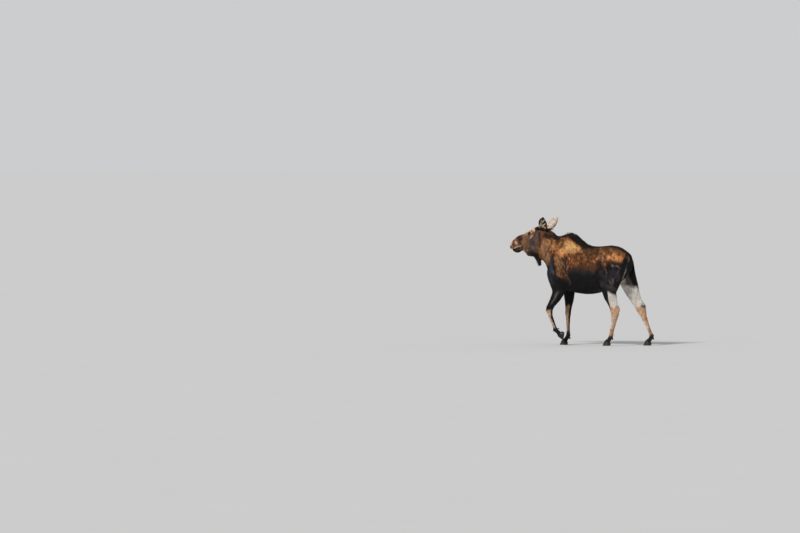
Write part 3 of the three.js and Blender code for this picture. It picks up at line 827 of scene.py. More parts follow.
def head_dyes_and_painted_light(p, tight):
    x, y, z = place_of(p)
    side = np.abs(y)
    colour = lay(filled_with(p, FACE), UNDERCOAT, UMBER)
    colour = lay_patches(colour, tight, HEAD_PATCHES, above(side, 0.005, 0.03))
    bridge = below(side, 0.02, 0.05) * above(z, 1.75, 1.77) * below(x, -0.62, -0.56)
    spot = columns(x, side, z)
    mouth = np.abs(z - np.interp(x, *MOUTH)) + 0.02 * above(x, -0.785, -0.765)
    return lay_all(
        colour, 1, (below(z, 1.535, 1.552) * below(x, -0.8, -0.74) * 0.9, (28, 23, 24)),
        (bridge * 0.5, (110, 76, 52)),
        (below(lengths(spot - EYE - [0, 0.015, 0]), 0.025, 0.036), (9, 7, 7)),
        (below(off_line(spot, *NOSTRIL)[0], 0.007, 0.015), (14, 9, 9)),
        (below(mouth, 0.003, 0.007) * 0.9, (16, 11, 11)),
    )


def markings_and_painted_light(p, n):
    x, y, z = place_of(p)
    side = np.abs(y)
    wander = 0.018 * grain(p, 0.06, 1) + 0.01 * grain(p, 0.022, 2)
    drift = 0.018 * grain(p, 0.07, 3) + 0.008 * grain(p, 0.02, 4)
    spot = columns(x + drift, z + wander)
    edge = np.interp(x + drift, *EDGE)
    top = np.interp(x, *TOP)

    colour = lay(filled_with(p, RUST), UNDERCOAT, UMBER)
    colour = lay_patches(colour, spot, PATCHES[:2], 1)
    ragged = 0.03 * grain(p * [1, 1, 0.4], 0.045, 13)
    under = below(z + wander + ragged, edge - 0.055, edge + 0.035)
    thigh = under * hill(x, 0.72, 0.16) * hill(z, 1.12, 0.16) * above(side, 0.12, 0.2)
    colour = lay_all(
        colour, 1, (below(z + ragged, edge, edge + 0.07) * 0.6, (50, 30, 22)), (under, BLACK),
        (thigh * above(grain(p * [1, 1, 0.45], 0.05, 5), -0.1, 0.6) * 0.6, (66, 60, 60)),
        (thigh * streaks(p, 0.028, 12, 0.25, 0.6) * 0.65, (128, 116, 112)),
    )
    colour = lay_patches(colour, spot, PATCHES[2:], above(side, 0.03, 0.1))
    deep = np.interp(x + drift, *CREST)
    crest = below(top - z + 0.6 * wander, deep * 0.75, deep * 1.15 + 0.012)
    nape = below(off_line(spot, (-0.368, 1.78), (-0.215, 1.755))[0], 0.026, 0.052)
    colour = lay_all(colour, 1, (crest * above(x, -0.6, -0.5), MANE), (nape * 0.92, MANE))
    colour = rear_dyes(colour, p, n, wander, drift)

    head = below(head_line(x, z) + wander, -0.475, -0.425)
    tight = columns(x + 0.25 * drift, z + 0.25 * wander)
    poll = below(off_line(tight, (-0.5, 1.89), (-0.345, 1.876))[0], 0.026, 0.044)
    ruff = lengths(columns((x + 0.465) / 1.4, side - 0.098, z - 1.915))
    bell = below(off_line(tight, (-0.545, 1.44), (-0.487, 1.28))[0], 0.045, 0.062)
    colour = lay_all(
        colour, 1, (head, head_dyes_and_painted_light(p, tight)), (poll * above(side, 0.0, 0.02), (20, 14, 13)),
        (below(ruff, 0.022, 0.038) * 0.9, (236, 224, 190)),
        (bell * below(x, -0.465, -0.44), (24, 16, 14)),
    )
    colour = ear_dyes_and_painted_light(leg_dyes_and_painted_light(colour, p, n, wander), p, n, wander)

    flecked = p * [1, 1, 0.55]
    clump = 1 + 0.26 * grain(flecked, 0.034, 6) + 0.34 * grain(flecked, 0.013, 7)
    flecks = 0.45 * grain(flecked, 0.036, 8) + 0.95 * grain(flecked, 0.015, 9)
    speck = above(x, -0.42, -0.34) * below(x, 0.92, 1.0) * above(z, edge, edge + 0.06) * (1 - head)
    speck = speck * (1 - 0.5 * hill(x, 0.06, 0.12) * hill(z, 1.62, 0.1))
    speck = speck * (1 - crest) * (1 - nape) * (1 - poll)
    # Light flecks are brighter on rump and loin, partly painted sunlight.
    rump, loin = hill(x, 0.7, 0.16) * hill(z, 1.46, 0.08), hill(x, 0.55, 0.08) * hill(z, 1.48, 0.07)
    bright = 0.42 + 0.3 * rump + 0.35 * loin
    bright = bright * (1 - 0.65 * above(z - top, -0.12, -0.06) * above(x, 0.25, 0.4))
    # The chest gets bluish streaks of painted sheen.
    chest = hill(x, -0.21, 0.06) * hill(z, 1.18, 0.16)
    colour = lay_all(
        colour, 1, (speck * above(flecks, 0.2, 0.6) * bright, (232, 176, 116)),
        (speck * above(-flecks, 0.15, 0.6) * 0.7, (44, 26, 16)),
        (chest * above(grain(p * [1, 1, 0.35], 0.028, 10), 0.1, 0.5) * 0.6, (96, 99, 110)),
    )
    return colour * np.clip(clump, 0.3, 2.0)[:, None]


class Wire:
    """A value or colour on its way to a surface. Sums on it add their nodes."""

    def __init__(self, tree, socket):
        self.tree = tree
        self.socket = socket

    def add(self, kind, settings, inputs, out=0):
        node = self.tree.nodes.new(kind)
        for key, value in settings.items():
            setattr(node, key, value)
        for key, value in inputs.items():
            if isinstance(value, Wire):
                self.tree.links.new(value.socket, node.inputs[key])
            else:
                node.inputs[key].default_value = value
        return Wire(self.tree, node.outputs[out])

    def sum(self, operation, *values):
        return self.add("ShaderNodeMath", {"operation": operation}, dict(enumerate(values)))

    def __add__(self, other):
        return self.sum("ADD", self, other)

    def __radd__(self, other):
        return self.sum("ADD", other, self)

    def __sub__(self, other):
        return self.sum("SUBTRACT", self, other)

    def __rsub__(self, other):
        return self.sum("SUBTRACT", other, self)

    def __mul__(self, other):
        return self.sum("MULTIPLY", self, other)

    def __rmul__(self, other):
        return self.sum("MULTIPLY", other, self)

    def __pow__(self, other):
        return self.sum("POWER", self, other)

    def between(self, low, high):
        """0 below low, 1 above high."""
        smooth = {"interpolation_type": "SMOOTHSTEP"}
        return self.add("ShaderNodeMapRange", smooth, {0: self, 1: low, 2: high})

    def mix(self, share, one, other, way="MIX"):
        settings = {"data_type": "RGBA", "blend_type": way}
        return self.add("ShaderNodeMix", settings, {0: share, 6: one, 7: other}, 2)

    def read(self, name, out=0):
        return self.add("ShaderNodeAttribute", {"attribute_name": name}, {}, out)

    def stretched(self, size):
        """Places scaled so that grain runs along the axis with the small number."""
        return self.add("ShaderNodeVectorMath", {"operation": "MULTIPLY"}, {0: self, 1: size})

    def noise(self, size, detail):
        return self.add("ShaderNodeTexNoise", {}, {"Vector": self, "Scale": 1 / size, "Detail": detail})


def new_finish(name, **sockets):
    """A material whose constant sockets are set. Gives it with its shader and the places on it."""
    material = bpy.data.materials.new(name)
    material.use_nodes = True
    tree = material.node_tree
    shader = tree.nodes["Principled BSDF"]
    for key, value in sockets.items():
        shader.inputs[key.replace("_", " ")].default_value = value
    return material, shader, Wire(tree, tree.nodes.new("ShaderNodeTexCoord").outputs["Object"])


def feed(shader, socket, value):
    value.tree.links.new(value.socket, shader.inputs[socket])


def feed_relief(shader, height, strength, distance):
    sockets = {"Strength": strength, "Distance": distance, "Height": height}
    feed(shader, "Normal", height.add("ShaderNodeBump", {}, sockets))


def finish_hide():
    material, shader, at = new_finish(
        "short_hair", Sheen_Weight=0.04, Sheen_Roughness=0.5, Specular_IOR_Level=0.2,
    )
    down = at.read("hangs", 2)
    level = at.stretched((60, 420, 420)).noise(1.0, 3.0)
    hairs = level * (1 - down) + at.stretched((420, 420, 60)).noise(1.0, 3.0) * down
    patchy = at.noise(0.03, 3.0)
    shade = at.mix(0.34 - 0.34 * hairs.between(0.35, 0.62), at.read("markings_and_painted_light"), (0.0, 0.0, 0.0, 1))
    shade = at.mix(patchy.between(0.5, 0.75) * 0.6, shade, (1.35, 1.22, 1.05, 1), "MULTIPLY")
    feed(shader, "Base Color", shade)
    feed(shader, "Roughness", 0.66 + 0.2 * patchy)
    feed_relief(shader, hairs + 0.4 * patchy, 0.55, 0.0016)
    return material


def paint(mesh, colour):
    layer = mesh.attributes.new("markings_and_painted_light", "FLOAT_COLOR", "POINT")
    full = np.concatenate([colour, np.ones((len(colour), 1))], axis=1)
    layer.data.foreach_set("color", full.astype(np.float32).ravel())


def put_value(mesh, name, value):
    layer = mesh.attributes.new(name, "FLOAT", "POINT")
    layer.data.foreach_set("value", value.astype(np.float32))


skin_at = read_places(hide.data)
skin_out = read_places(hide.data, "normal")
paint(hide.data, np.clip(markings_and_painted_light(skin_at, skin_out), 0.002, 1))
put_value(hide.data, "hangs", low_leg_share(skin_at[:, 2]))
hide.data.materials.append(finish_hide())
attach(hide, "root")
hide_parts(*FLESH)

# --------------------
# Coat of the trunk. Coarse guard hair in overlapping locks that lie back and down,
# longest along the crest. Each lock is a thin closed blade rooted in the hide.

# Rings of a lock: place along it, share of its width and share of the coat's depth.
RINGS = {
    2: [(0.0, 0.85, 0.0), (0.55, 0.95, 0.85), (1.0, 0.0, 1.0)],
    3: [(0.0, 0.8, 0.0), (0.4, 1.0, 0.6), (0.76, 0.66, 0.92), (1.0, 0.0, 1.0)],
}
ROOTED = 0.0025                  # how deep a lock starts under the skin
PATCH = 0.0024                   # size of a lock's patch on the map
COLOURED_AT = 0.45                   # place along a lock whose colour, with its painted light, it takes
LEG_TOP = 0.855

# Which way the coat lies: place, reach and direction, all in hundredths. The nearest ones count.
LIE = [
    (-95, 5, 165, 7, 75, 0, 75),
    (-85, 5, 152, 6, 100, 0, 10),
    (-80, 5, 174, 8, 95, 0, 30),
    (-72, 7, 162, 8, 100, 0, 0),
    (-64, 9, 184, 6, 90, 10, 45),
    (-58, 9, 162, 10, 85, 0, -35),
    (-53, 9, 190, 5, 95, 30, 25),
    (-60, 5, 146, 6, 85, 0, -45),
    (-50, 2, 134, 8, 15, 0, -100),
    (-40, 6, 186, 8, 90, 10, -50),
    (-36, 12, 160, 14, 70, 0, -70),
    (-38, 8, 134, 10, 45, 0, -85),
    (-16, 6, 178, 10, 97, 10, -15),
    (-10, 20, 150, 16, 55, 0, -85),
    (-26, 18, 115, 12, 15, 0, -100),
    (-8, 24, 105, 14, 25, 0, -100),
    (5, 4, 182, 10, 98, 10, -20),
    (30, 4, 166, 12, 95, 10, -20),
    (25, 22, 145, 18, 80, 0, -60),
    (30, 22, 110, 16, 75, 0, -60),
    (30, 5, 86, 14, 100, 0, 0),
    (60, 4, 162, 14, 97, 15, -15),
    (75, 20, 145, 16, 65, 0, -75),
    (72, 24, 115, 16, 35, 0, -95),
    (62, 20, 92, 12, 35, 0, -95),
    (98, 10, 145, 12, 35, 0, -95),
    (100, 15, 110, 14, 10, 0, -100),
    (-12, 15, 70, 20, 5, 0, -100),
    (-15, 15, 30, 20, 5, 0, -100),
    (-12, 15, 17, 6, 65, 0, -75),
    (75, 15, 65, 20, 15, 0, -100),
    (75, 15, 30, 20, -10, 0, -100),
    (120, 15, 65, 20, 40, 0, -100),
    (132, 15, 30, 20, 30, 0, -100),
]
# Lengthwise place, and how much higher than elsewhere the tips of the crest stand.
STAND = [
    [-0.36, -0.26, -0.18, -0.09, 0.0, 0.12, 0.3, 0.5],
    [0.0, -0.002, -0.006, 0.014, 0.026, 0.022, 0.016, 0.0],
]


def lie_of(p, n):
    x, y, z = place_of(p)
    spot = columns(x, np.abs(y), z)
    way = np.zeros((len(p), 3))
    total = np.full(len(p), 1e-9)
    for row in np.array(LIE) / 100:
        w = np.exp(-(lengths(spot - row[:3]) / row[3]) ** 1.2 * 1.6)
        way += w[:, None] * row[4:]
        total += w
    way = way / total[:, None]
    way[:, 1] *= np.sign(y)
    for which in range(2):
        t, wide, out, on = ear_spot(p, which)
        way[on & (t > 0.1)] = EAR_SETS[which][1]
    way = way - n * np.sum(way * n, axis=1)[:, None]
    return way / np.maximum(lengths(way), 1e-6)[:, None]


def hair_length(x, y, z):
    side = np.abs(y)
    crest = below(side, 0.04, 0.14) * above(x, -0.5, -0.35) * below(x, 0.35, 0.6) * above(z, 1.5, 1.7)
    length = 0.058 + 0.032 * crest + 0.02 * hill(x, -0.25, 0.1) * hill(z, 1.1, 0.15)
    length = blend(length, 0.036, below(z, 0.9, 1.15) * above(side, 0.1, 0.14))
    on_head = 0.012 + 0.009 * above(x, -0.88, -0.7) + 0.012 * above(x, -0.62, -0.5)
    on_head = on_head + 0.01 * hill(x, -0.55, 0.1) * hill(z, 1.5, 0.06)
    length = blend(length, on_head, head_share(x, z))
    length = blend(length, 0.02, low_leg_share(z) * (side > 0.05))
    length = blend(length, 0.05, bell_share(x, z))
    ear_root = lengths(columns(x + 0.4, side - 0.085, z - 1.88))
    length = blend(length, 0.022, below(ear_root, 0.07, 0.12) * (side > 0.03))
    fluff = lengths(columns((x + 0.46) / 1.5, side - 0.098, z - 1.91))
    return length + 0.014 * below(fluff, 0.02, 0.045)


hide.data.calc_loop_triangles()
corners = np.empty(len(hide.data.loop_triangles) * 3, dtype=np.int32)
hide.data.loop_triangles.foreach_get("vertices", corners)
corners = corners.reshape(-1, 3)
tri_at = skin_at[corners]
tri_area = lengths(np.cross(tri_at[:, 1] - tri_at[:, 0], tri_at[:, 2] - tri_at[:, 0])) / 2
tri_middle = tri_at.mean(axis=1)
tri_out = skin_out[corners].mean(axis=1)
hide_tree = BVHTree.FromPolygons(skin_at.tolist(), corners.tolist())


def sow(count, share, draw):
    """Roots spread over the hide where share is above 0, with the way the hide faces there."""
    reach = np.cumsum(tri_area * share(tri_middle, tri_out))
    pick = np.searchsorted(reach, (np.arange(count) + draw.random(count)) / count * reach[-1])
    picked = corners[np.minimum(pick, len(corners) - 1)]
    a, b = draw.random(count), draw.random(count)
    flip = a + b > 1
    a, b = np.where(flip, 1 - a, a), np.where(flip, 1 - b, b)
    part = columns(1 - a - b, a, b)[:, :, None]
    out = (skin_out[picked] * part).sum(axis=1)
    return (skin_at[picked] * part).sum(axis=1), out / lengths(out)[:, None]


def follow(p, rise, reach):
    """Points brought back over the hide at the height rise."""
    near = [hide_tree.find_nearest(spot) for spot in p.tolist()]
    on = np.array([hit[0][:] for hit in near])
    face = np.array([hit[1][:] for hit in near])
    strayed = lengths(p - on) > 0.35 * reach
    return np.where(strayed[:, None], p, on + face * rise[:, None])


def lock_faces(rings):
    """Faces of one lock, and where their corners lie on its patch of the map."""
    faces, patch = [], []
    for k in range(rings):
        low, high = k / rings, (k + 1) / rings
        for i in range(3):
            a, b, left, right = 3 * k + i, 3 * k + (i + 1) % 3, i / 3, (i + 1) / 3
            if k < rings - 1:
                faces.append((a, b, b + 3, a + 3))
                patch += [(left, low), (right, low), (right, high), (left, high)]
            else:
                faces.append((a, b, 3 * rings))
                patch += [(left, low), (right, low), ((i + 0.5) / 3, 1)]
    patch += [(0.9, -0.05), (0.5, -0.3), (0.1, -0.05)]
    return faces + [(2, 1, 0)], np.array(patch) * PATCH


def sew(name, points, faces):
    """One mesh of many locks that share the same faces."""
    count, size = points.shape[:2]
    corner = np.concatenate(faces)
    totals = [len(f) for f in faces]
    starts = np.cumsum([0] + totals[:-1])
    lock = np.arange(count)[:, None]
    mesh = bpy.data.meshes.new(name)
    mesh.vertices.add(count * size)
    mesh.vertices.foreach_set("co", points.astype(np.float32).ravel())
    mesh.loops.add(count * len(corner))
    mesh.loops.foreach_set("vertex_index", (corner + lock * size).astype(np.int32).ravel())
    mesh.polygons.add(count * len(faces))
    mesh.polygons.foreach_set("loop_start", (starts + lock * len(corner)).astype(np.int32).ravel())
    mesh.polygons.foreach_set("loop_total", np.tile(totals, count).astype(np.int32))
    shade_smooth(mesh)
    mesh.update()
    mesh.validate()
    return mesh


def grow_coat(
    name, material, seed, count, share, wrap, cut, rings=2, shades=(0.72, 0.95, 1.16), ridge=0.24,
):
    """One piece of the coat: closed blades of rings of three points and a tip. cut gives
    their length, width and depth, and wrap their places on the map."""
    draw = np.random.default_rng(seed)
    root, out = sow(count, share, draw)
    way = lie_of(root, out)
    length, width, depth = cut(root, out)
    turn = draw.normal(0, math.radians(11), count)[:, None]
    way = way * np.cos(turn) + np.cross(way, out) * np.sin(turn)
    cross = np.cross(way, out)
    length = length * draw.uniform(0.72, 1.25, count)
    width = width * draw.uniform(0.75, 1.25, count)
    bend = draw.normal(0, 0.1, count) * length
    tip_rise = draw.uniform(0.65, 1.2, count)
    points = []
    for t, wide, rise in RINGS[rings]:
        spot = root + way * (t * length)[:, None] + cross * (bend * t * t)[:, None]
        if t == 0:
            spot = spot - out * ROOTED
        else:
            spot = follow(spot, depth * rise * (tip_rise if t == 1 else 0.5 + 0.5 * tip_rise), length)
        half = cross * (0.5 * wide * width)[:, None]
        ring = [spot - half, spot + out * (ridge * wide * width)[:, None], spot + half]
        points += ring if t < 1 else [spot]
    faces, patch = lock_faces(rings)
    mesh = sew(name, np.stack(points, axis=1), faces)
    layer = mesh.uv_layers.new(name="OFBake")
    at = np.clip(wrap(root, out), 0.002, 0.995)
    layer.uv.foreach_set("vector", (at[:, None] + patch).astype(np.float32).ravel())
    colour = markings_and_painted_light(root + way * (COLOURED_AT * length)[:, None], out)
    bright = np.exp(draw.normal(0, 0.19, count)) * (1 + 0.35 * (draw.random(count) > 0.93))
    warm = 1 + draw.normal(0, 0.05, count)
    colour = colour * bright[:, None] * columns(warm, np.ones(count), 1 / warm)
    tone = np.repeat(shades, [3] * rings + [1])
    paint(mesh, np.clip((colour[:, None] * tone[:, None]).reshape(-1, 3), 0.0015, 1))
    coat = set_out(name, mesh)
    coat.data.materials.append(material)
    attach(coat, "root")


def finish_locks(name, rough, sheen):
    material, shader, at = new_finish(name, Sheen_Weight=sheen, Sheen_Roughness=0.4, Specular_IOR_Level=0.2)
    hairs = at.stretched((500, 900, 350)).noise(1.0, 2.0)
    share = hairs.between(0.62, 0.35) * 0.45
    feed(shader, "Base Color", at.mix(share, at.read("markings_and_painted_light"), (0.58, 0.53, 0.48, 1), "MULTIPLY"))
    feed(shader, "Roughness", rough + 0.2 * hairs)
    feed_relief(shader, hairs, 0.35, 0.0008)
    return material


def neck_edge(z):
    """Lengthwise place where the neck ends and the trunk starts."""
    return -0.386 + (z - 1.284) * 0.298


def trunk_share(side, fore):
    def share(p, n):
        x, y, z = place_of(p)
        on = (y * side > 0) & ((x < 0.44) == fore) & (z >= LEG_TOP) & (x > neck_edge(z))
        return on * (1 - 0.5 * above(-n[:, 1] * side, 0.2, 0.6))
    return share


def trunk_wrap(side, low, high):
    def wrap(p, n):
        x, y, z = place_of(p)
        level = np.interp(x, [-0.4, 0.0, 0.5, 1.0], [1.35, 1.3, 1.25, 1.3])
        angle = np.arctan2(z - level, np.abs(y)) / math.pi + 0.5
        inner = above(-n[:, 1] * side, 0.1, 0.3) > 0.5
        v = np.where(inner, 0.11 * np.clip((z - 0.84) / 0.4, 0, 1), 0.13 + 0.86 * angle)
        return columns((x - low) / (high - low), v)
    return wrap


def long_cut(root, out):
    x, y, z = place_of(root)
    crest = below(np.abs(y), 0.02, 0.09) * above(z, 1.5, 1.6)
    return hair_length(x, y, z), 0.008, coat_depth(x, y, z) + np.interp(x, *STAND) * crest


guard_hair = finish_locks("guard_hair", 0.55, 0.05)
for side, flank in ((-1, "left"), (1, "right")):
    for fore, end, low, high in ((True, "fore", -0.42, 0.44), (False, "hind", 0.44, 1.12)):
        grow_coat(
            f"coat_trunk_{end}_{flank}", guard_hair, 40 + 2 * side + fore, 18400,
            trunk_share(side, fore), trunk_wrap(side, low, high), long_cut,
        )

# --------------------
# Coat of the neck, with the mane. Longer and coarser than on the trunk, and black
# along the nape, where it parts to both sides.


def is_ear(p):
    on = np.zeros(len(p), bool)
    for which in range(2):
        t, wide, out, near = ear_spot(p, which)
        on |= near & (t > 0.16)
    return on


def turn_of(a, b):
    """Direction of a across and b up, as a share of a full turn."""
    return np.arctan2(a, b) / (2 * math.pi) + 0.5


def neck_share(p, n):
    x, y, z = place_of(p)
    return (x <= neck_edge(z)) & (head_share(x, z) < 0.5) & ~is_ear(p) & (z >= LEG_TOP)


def neck_wrap(p, n):
    x, y, z = place_of(p)
    level = np.interp(x, [-0.55, -0.4, -0.2], [1.7, 1.62, 1.58])
    return columns(turn_of(y, z - level), (head_line(x, z) + 0.43) / 0.3)


grow_coat(
    "coat_neck", guard_hair, 51, 11000, neck_share, neck_wrap, long_cut,
    rings=3, shades=(0.68, 0.85, 1.0, 1.16),
)

# --------------------
# Coat of the head. Short, close hair rooted in the hide, finest on the nose, longer on
# cheek and poll. It leaves lids, nostrils and lips bare.


def head_share_of_hair(p, n):
    x, y, z = place_of(p)
    spot = columns(x, np.abs(y), z)
    on = (head_share(x, z) >= 0.5) & ~is_ear(p) & (bell_share(x, z) < 0.5)
    mouth = np.abs(z - np.interp(x, *MOUTH)) + 0.03 * above(x, -0.785, -0.765)
    bare = above(lengths(spot - EYE - [0, 0.012, 0]), 0.026, 0.034) * above(mouth, 0.007, 0.012)
    bare = bare * above(off_line(spot, *NOSTRIL)[0], 0.014, 0.022)
    return on * bare * (1 + 0.9 * below(x, -0.9, -0.72))


def head_wrap(p, n):
    x, y, z = place_of(p)
    level = np.interp(x, [-0.98, -0.8, -0.64, -0.44], [1.6, 1.63, 1.67, 1.7])
    return columns(turn_of(y, z - level), (x + 0.99) / 0.6)


def head_cut(root, out):
    length = hair_length(*place_of(root))
    return length, 0.0022 + 0.08 * length, 0.0008 + 0.11 * length


short_hair = finish_locks("face_hair", 0.6, 0.04)
grow_coat(
    "coat_head", short_hair, 52, 18000, head_share_of_hair, head_wrap, head_cut,
    shades=(0.92, 1.0, 1.08), ridge=0.12,
)

# --------------------
# Coat of the ears. Felt on the back, a fringe on the rim and long pale hair inside
# that stands across the opening.


def ear_wrap(p, n):
    uv = np.zeros((len(p), 2))
    for which in range(2):
        t, wide, out, on = ear_spot(p, which)
        inside = n @ EAR_SETS[which][2] > 0
        column = (2 * which + inside + 0.5 + 0.42 * np.clip(wide / EAR_SETS[which][5], -1, 1)) / 4
        mine = (p[:, 1] > 0) == bool(which)
        uv = np.where(mine[:, None], columns(column, np.clip(t, 0, 1)), uv)
    return uv


def ear_cut(root, out):
    right = root[:, 1] > 0
    t = np.where(right, ear_spot(root, 1)[0], ear_spot(root, 0)[0])
    inside = np.where(right, out @ EAR_SETS[1][2], out @ EAR_SETS[0][2]) > 0.1
    return np.where(inside, 0.03 - 0.012 * t, 0.014), 0.0036, np.where(inside, 0.0065, 0.0022)


grow_coat(
    "coat_ears", short_hair, 53, 4200, lambda p, n: is_ear(p), ear_wrap, ear_cut,
    shades=(0.8, 1.0, 1.12),
)

# --------------------
# Coat of the legs. Short, close hair that lies straight down to the coronets, dark
# in front and pale behind and inside, rooted in the hide.


def leg_share(side, hind):
    def share(p, n):
        x, y, z = place_of(p)
        on = (y * side > 0.015) & ((x > HIND_FROM) == hind) & (z < LEG_TOP)
        return on * (0.75 + 0.6 * below(z, 0.1, 0.5))
    return share


def leg_wrap(side, hind):
    levels, rows = LEG_LINES[side, hind]

    def wrap(p, n):
        x, y, z = place_of(p)
        across, along = y - np.interp(z, levels, rows[:, 2]), x - np.interp(z, levels, rows[:, 0])
        return columns(turn_of(across, along), z / 0.86)
    return wrap


def leg_cut(root, out):
    x, y, z = place_of(root)
    upper = above(z, 0.55, 0.85)
    return hair_length(x, y, z), 0.0034 + 0.003 * upper, 0.0026 + 0.006 * upper


for hind, end in ((False, "front"), (True, "hind")):
    for side, flank in ((-1, "left"), (1, "right")):
        grow_coat(
            f"coat_leg_{end}_{flank}", short_hair, 60 + 3 * side + hind, 8200,
            leg_share(side, hind), leg_wrap(side, hind), leg_cut, shades=(0.9, 1.0, 1.1), ridge=0.15,
        )

# --------------------
# Bell. The tassel of skin under the throat hangs from the hide and carries a beard
# of coarse black hair.


def bell_hair_share(p, n):
    x, y, z = place_of(p)
    return (bell_share(x, z) >= 0.5) & (z < 1.45)


def bell_wrap(p, n):
    x, y, z = place_of(p)
    return columns(turn_of(y, x + 0.505), (z - 1.27) / 0.18)


def bell_cut(root, out):
    return 0.05 * above(root[:, 2], 1.26, 1.36) + 0.012, 0.006, 0.006


grow_coat(
    "coat_bell", guard_hair, 71, 1400, bell_hair_share, bell_wrap, bell_cut,
    rings=3, shades=(0.7, 0.9, 1.0, 1.2),
)

# --------------------
# Eyes. Each is a dark globe with a clear bulge in front, a brown iris and a level
# pupil, set in the socket behind the lids.

IRIS = 0.0125
CORNEA_RISE = 0.0012
EYE_TURNS = 48
EYE_RINGS = 32


def make_eye(name, side):
    out, along, up = eye_frame()
    mirror = np.array([1, side, 1])
    points = []
    for k in range(EYE_RINGS + 1):
        polar = math.pi * k / EYE_RINGS
        bulge = CORNEA_RISE * math.exp(-(math.sin(polar) * EYE_SIZE / IRIS) ** 4) * (polar < 1.57)
        for i in range(EYE_TURNS if 0 < k < EYE_RINGS else 1):
            angle = 2 * math.pi * i / EYE_TURNS
            d = math.cos(polar) * out + math.sin(polar) * (math.cos(angle) * along + math.sin(angle) * up)
            points.append((EYE + d * (EYE_SIZE * 0.985 + bulge)) * mirror + [HUMP_X, 0, 0])
    faces = []
    for i in range(EYE_TURNS):
        j = (i + 1) % EYE_TURNS
        faces.append((0, 1 + i, 1 + j))
        for k in range(EYE_RINGS - 2):
            a = 1 + k * EYE_TURNS
            faces.append((a + i, a + EYE_TURNS + i, a + EYE_TURNS + j, a + j))
        a = 1 + (EYE_RINGS - 2) * EYE_TURNS
        faces.append((a + i, len(points) - 1, a + j))
    mesh = bpy.data.meshes.new(name)
    mesh.from_pydata([tuple(q) for q in points], [], faces)
    face_out(mesh)
    shade_smooth(mesh)
    spot = (read_places(mesh) - [HUMP_X, 0, 0]) * mirror - EYE
    put_value(mesh, "across", spot @ along)
    put_value(mesh, "rise", spot @ up)
    return set_out(name, mesh)


def finish_eye():
    material, shader, at = new_finish(
        "eye", Coat_Weight=0.2, Coat_Roughness=0.04, Roughness=0.12, Specular_IOR_Level=0.1,
    )
    across, rise = at.read("across", 2), at.read("rise", 2)
    far = (across * across + rise * rise) ** 0.5
    slit = (across * across * 0.3 + rise * rise) ** 0.5
    iris = at.mix(at.noise(0.0012, 3.0), (0.01, 0.005, 0.003, 1), (0.04, 0.018, 0.009, 1))
    globe = at.mix(far.between(IRIS - 0.003, IRIS), iris, (0.006, 0.004, 0.003, 1))
    feed(shader, "Base Color", at.mix(slit.between(0.0048, 0.004), globe, (0.0015, 0.0015, 0.002, 1)))
    return material


eye_finish = finish_eye()
for name, side in (("eye_left", -1), ("eye_right", 1)):
    globe = make_eye("globe_" + name[4:], side)
    globe.data.materials.append(eye_finish)
    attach(globe, "root")
    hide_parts(name)

# --------------------
# Hooves and dewclaws. Grey-black horn in fine upright fibres, its edges worn round,
# ringed by growth and rubbed paler towards the ground. Each caps the end of a toe.

HORN_GRID = 0.0022


def finish_horn():
    material, shader, at = new_finish("horn", Specular_IOR_Level=0.25)
    level = at.add("ShaderNodeSeparateXYZ", {}, {0: at}, 2)
    fibre = at.stretched((700, 700, 60)).noise(1.0, 3.0)
    rings = at.stretched((25, 25, 260)).noise(1.0, 2.0)
    worn = level.between(0.055, 0.0) * at.noise(0.02, 3.0)
    dark = at.mix(rings, (0.005, 0.0045, 0.0045, 1), (0.017, 0.014, 0.012, 1))
    feed(shader, "Base Color", at.mix(worn, dark, (0.045, 0.036, 0.028, 1)))
    feed(shader, "Roughness", 0.34 + 0.3 * fibre)
    feed_relief(shader, rings + 0.6 * fibre, 0.5, 0.0012)
    return material


def cast_horn(name):
    """A claw with its edges worn round, in place of the plain solid."""
    piece = set_out("horn_" + name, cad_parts[name].data.copy())
    recast(piece, HORN_GRID)
    p = read_places(piece.data)
    worn = even_out(p, edge_ends(piece.data), np.ones(len(p)), 14, 0.6)
    worn[:, 2] = np.maximum(worn[:, 2], p[:, 2].min())
    put_places(piece.data, worn)
    shade_smooth(piece.data)
    return piece


horn = finish_horn()
for name in [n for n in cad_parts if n.startswith(("hoof", "dewclaw"))]:
    piece = cast_horn(name)
    piece.data.materials.clear()
    piece.data.materials.append(horn)
    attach(piece, "root")
    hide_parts(name)

# --------------------
# Floor, light and camera. A pale studio floor, one broad sun from high on the near
# side and a pale sky, and a long lens from a little above the animal's shoulder.

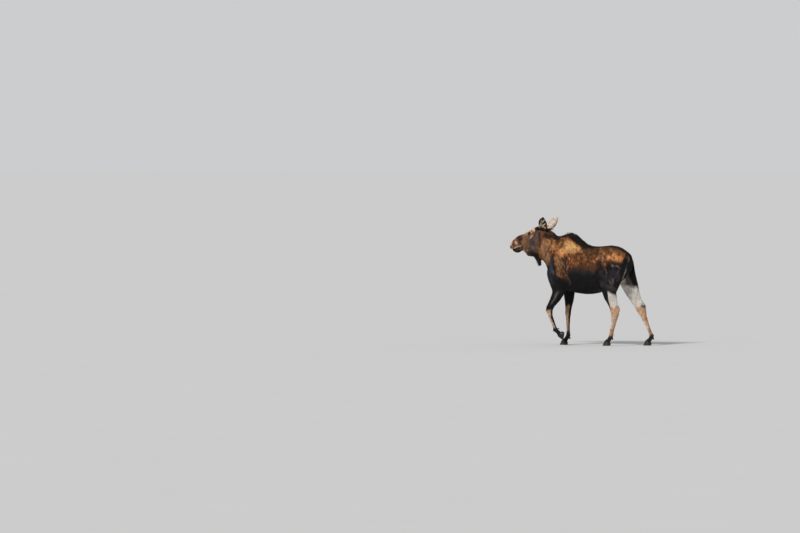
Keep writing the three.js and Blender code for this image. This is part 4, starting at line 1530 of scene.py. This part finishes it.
FLOOR_HALF = 400
ground = bpy.data.meshes.new("floor")
square = [(-FLOOR_HALF, -FLOOR_HALF, 0), (FLOOR_HALF, -FLOOR_HALF, 0),
          (FLOOR_HALF, FLOOR_HALF, 0), (-FLOOR_HALF, FLOOR_HALF, 0)]
ground.from_pydata(square, [], [(0, 1, 2, 3)])
floor = set_out("floor", ground)
pale, shader, at = new_finish("pale_floor", Roughness=0.95, Specular_IOR_Level=0.0)
feed(shader, "Base Color", at.mix(at.noise(1.7, 2.0), (0.481, 0.484, 0.491, 1), (0.496, 0.499, 0.506, 1)))
ground.materials.append(pale)

world = bpy.data.worlds.new("studio")
bpy.context.scene.world = world
world.use_nodes = True
world.node_tree.nodes["Background"].inputs["Color"].default_value = (0.86, 0.87, 0.89, 1)
world.node_tree.nodes["Background"].inputs["Strength"].default_value = 0.7

SHINE = Vector((0.34, 0.84, -0.72))     # way the sun shines
lamp = bpy.data.lights.new("key", "SUN")
lamp.energy = 3.2
lamp.angle = math.radians(12)
lamp.color = (1.0, 0.97, 0.92)
sun = set_out("key", lamp)
sun.rotation_mode = "QUATERNION"
sun.rotation_quaternion = SHINE.to_track_quat("-Z", "Y")
sun.location = -5 * SHINE
bpy.context.scene.view_settings.view_transform = "Standard"

YAW = math.radians(14.0)
RISE = math.radians(1.2)
DISTANCE = 108.0
PIXEL = 0.0162                   # metres to a pixel at the animal
HUMP_PIXEL = 568.7               # where the hump stands across the frame
MIDDLE_PIXEL = 400
AIM_HEIGHT = 1.272
across = np.array([math.cos(YAW), math.sin(YAW), 0])
back = np.array([math.sin(YAW) * math.cos(RISE), -math.cos(YAW) * math.cos(RISE), math.sin(RISE)])
middle = np.array([HUMP_X, 0, AIM_HEIGHT])
aim = Vector(middle + across * (MIDDLE_PIXEL - HUMP_PIXEL) * PIXEL)
stand = Vector(middle + back * DISTANCE)
lens = bpy.data.cameras.new("camera")
lens.lens = 300
lens.sensor_width = 36
lens.clip_start = 1
lens.clip_end = 1200
camera = set_out("camera", lens)
camera.location = stand
camera.rotation_mode = "QUATERNION"
camera.rotation_quaternion = (aim - stand).to_track_quat("-Z", "Y")
bpy.context.scene.camera = camera
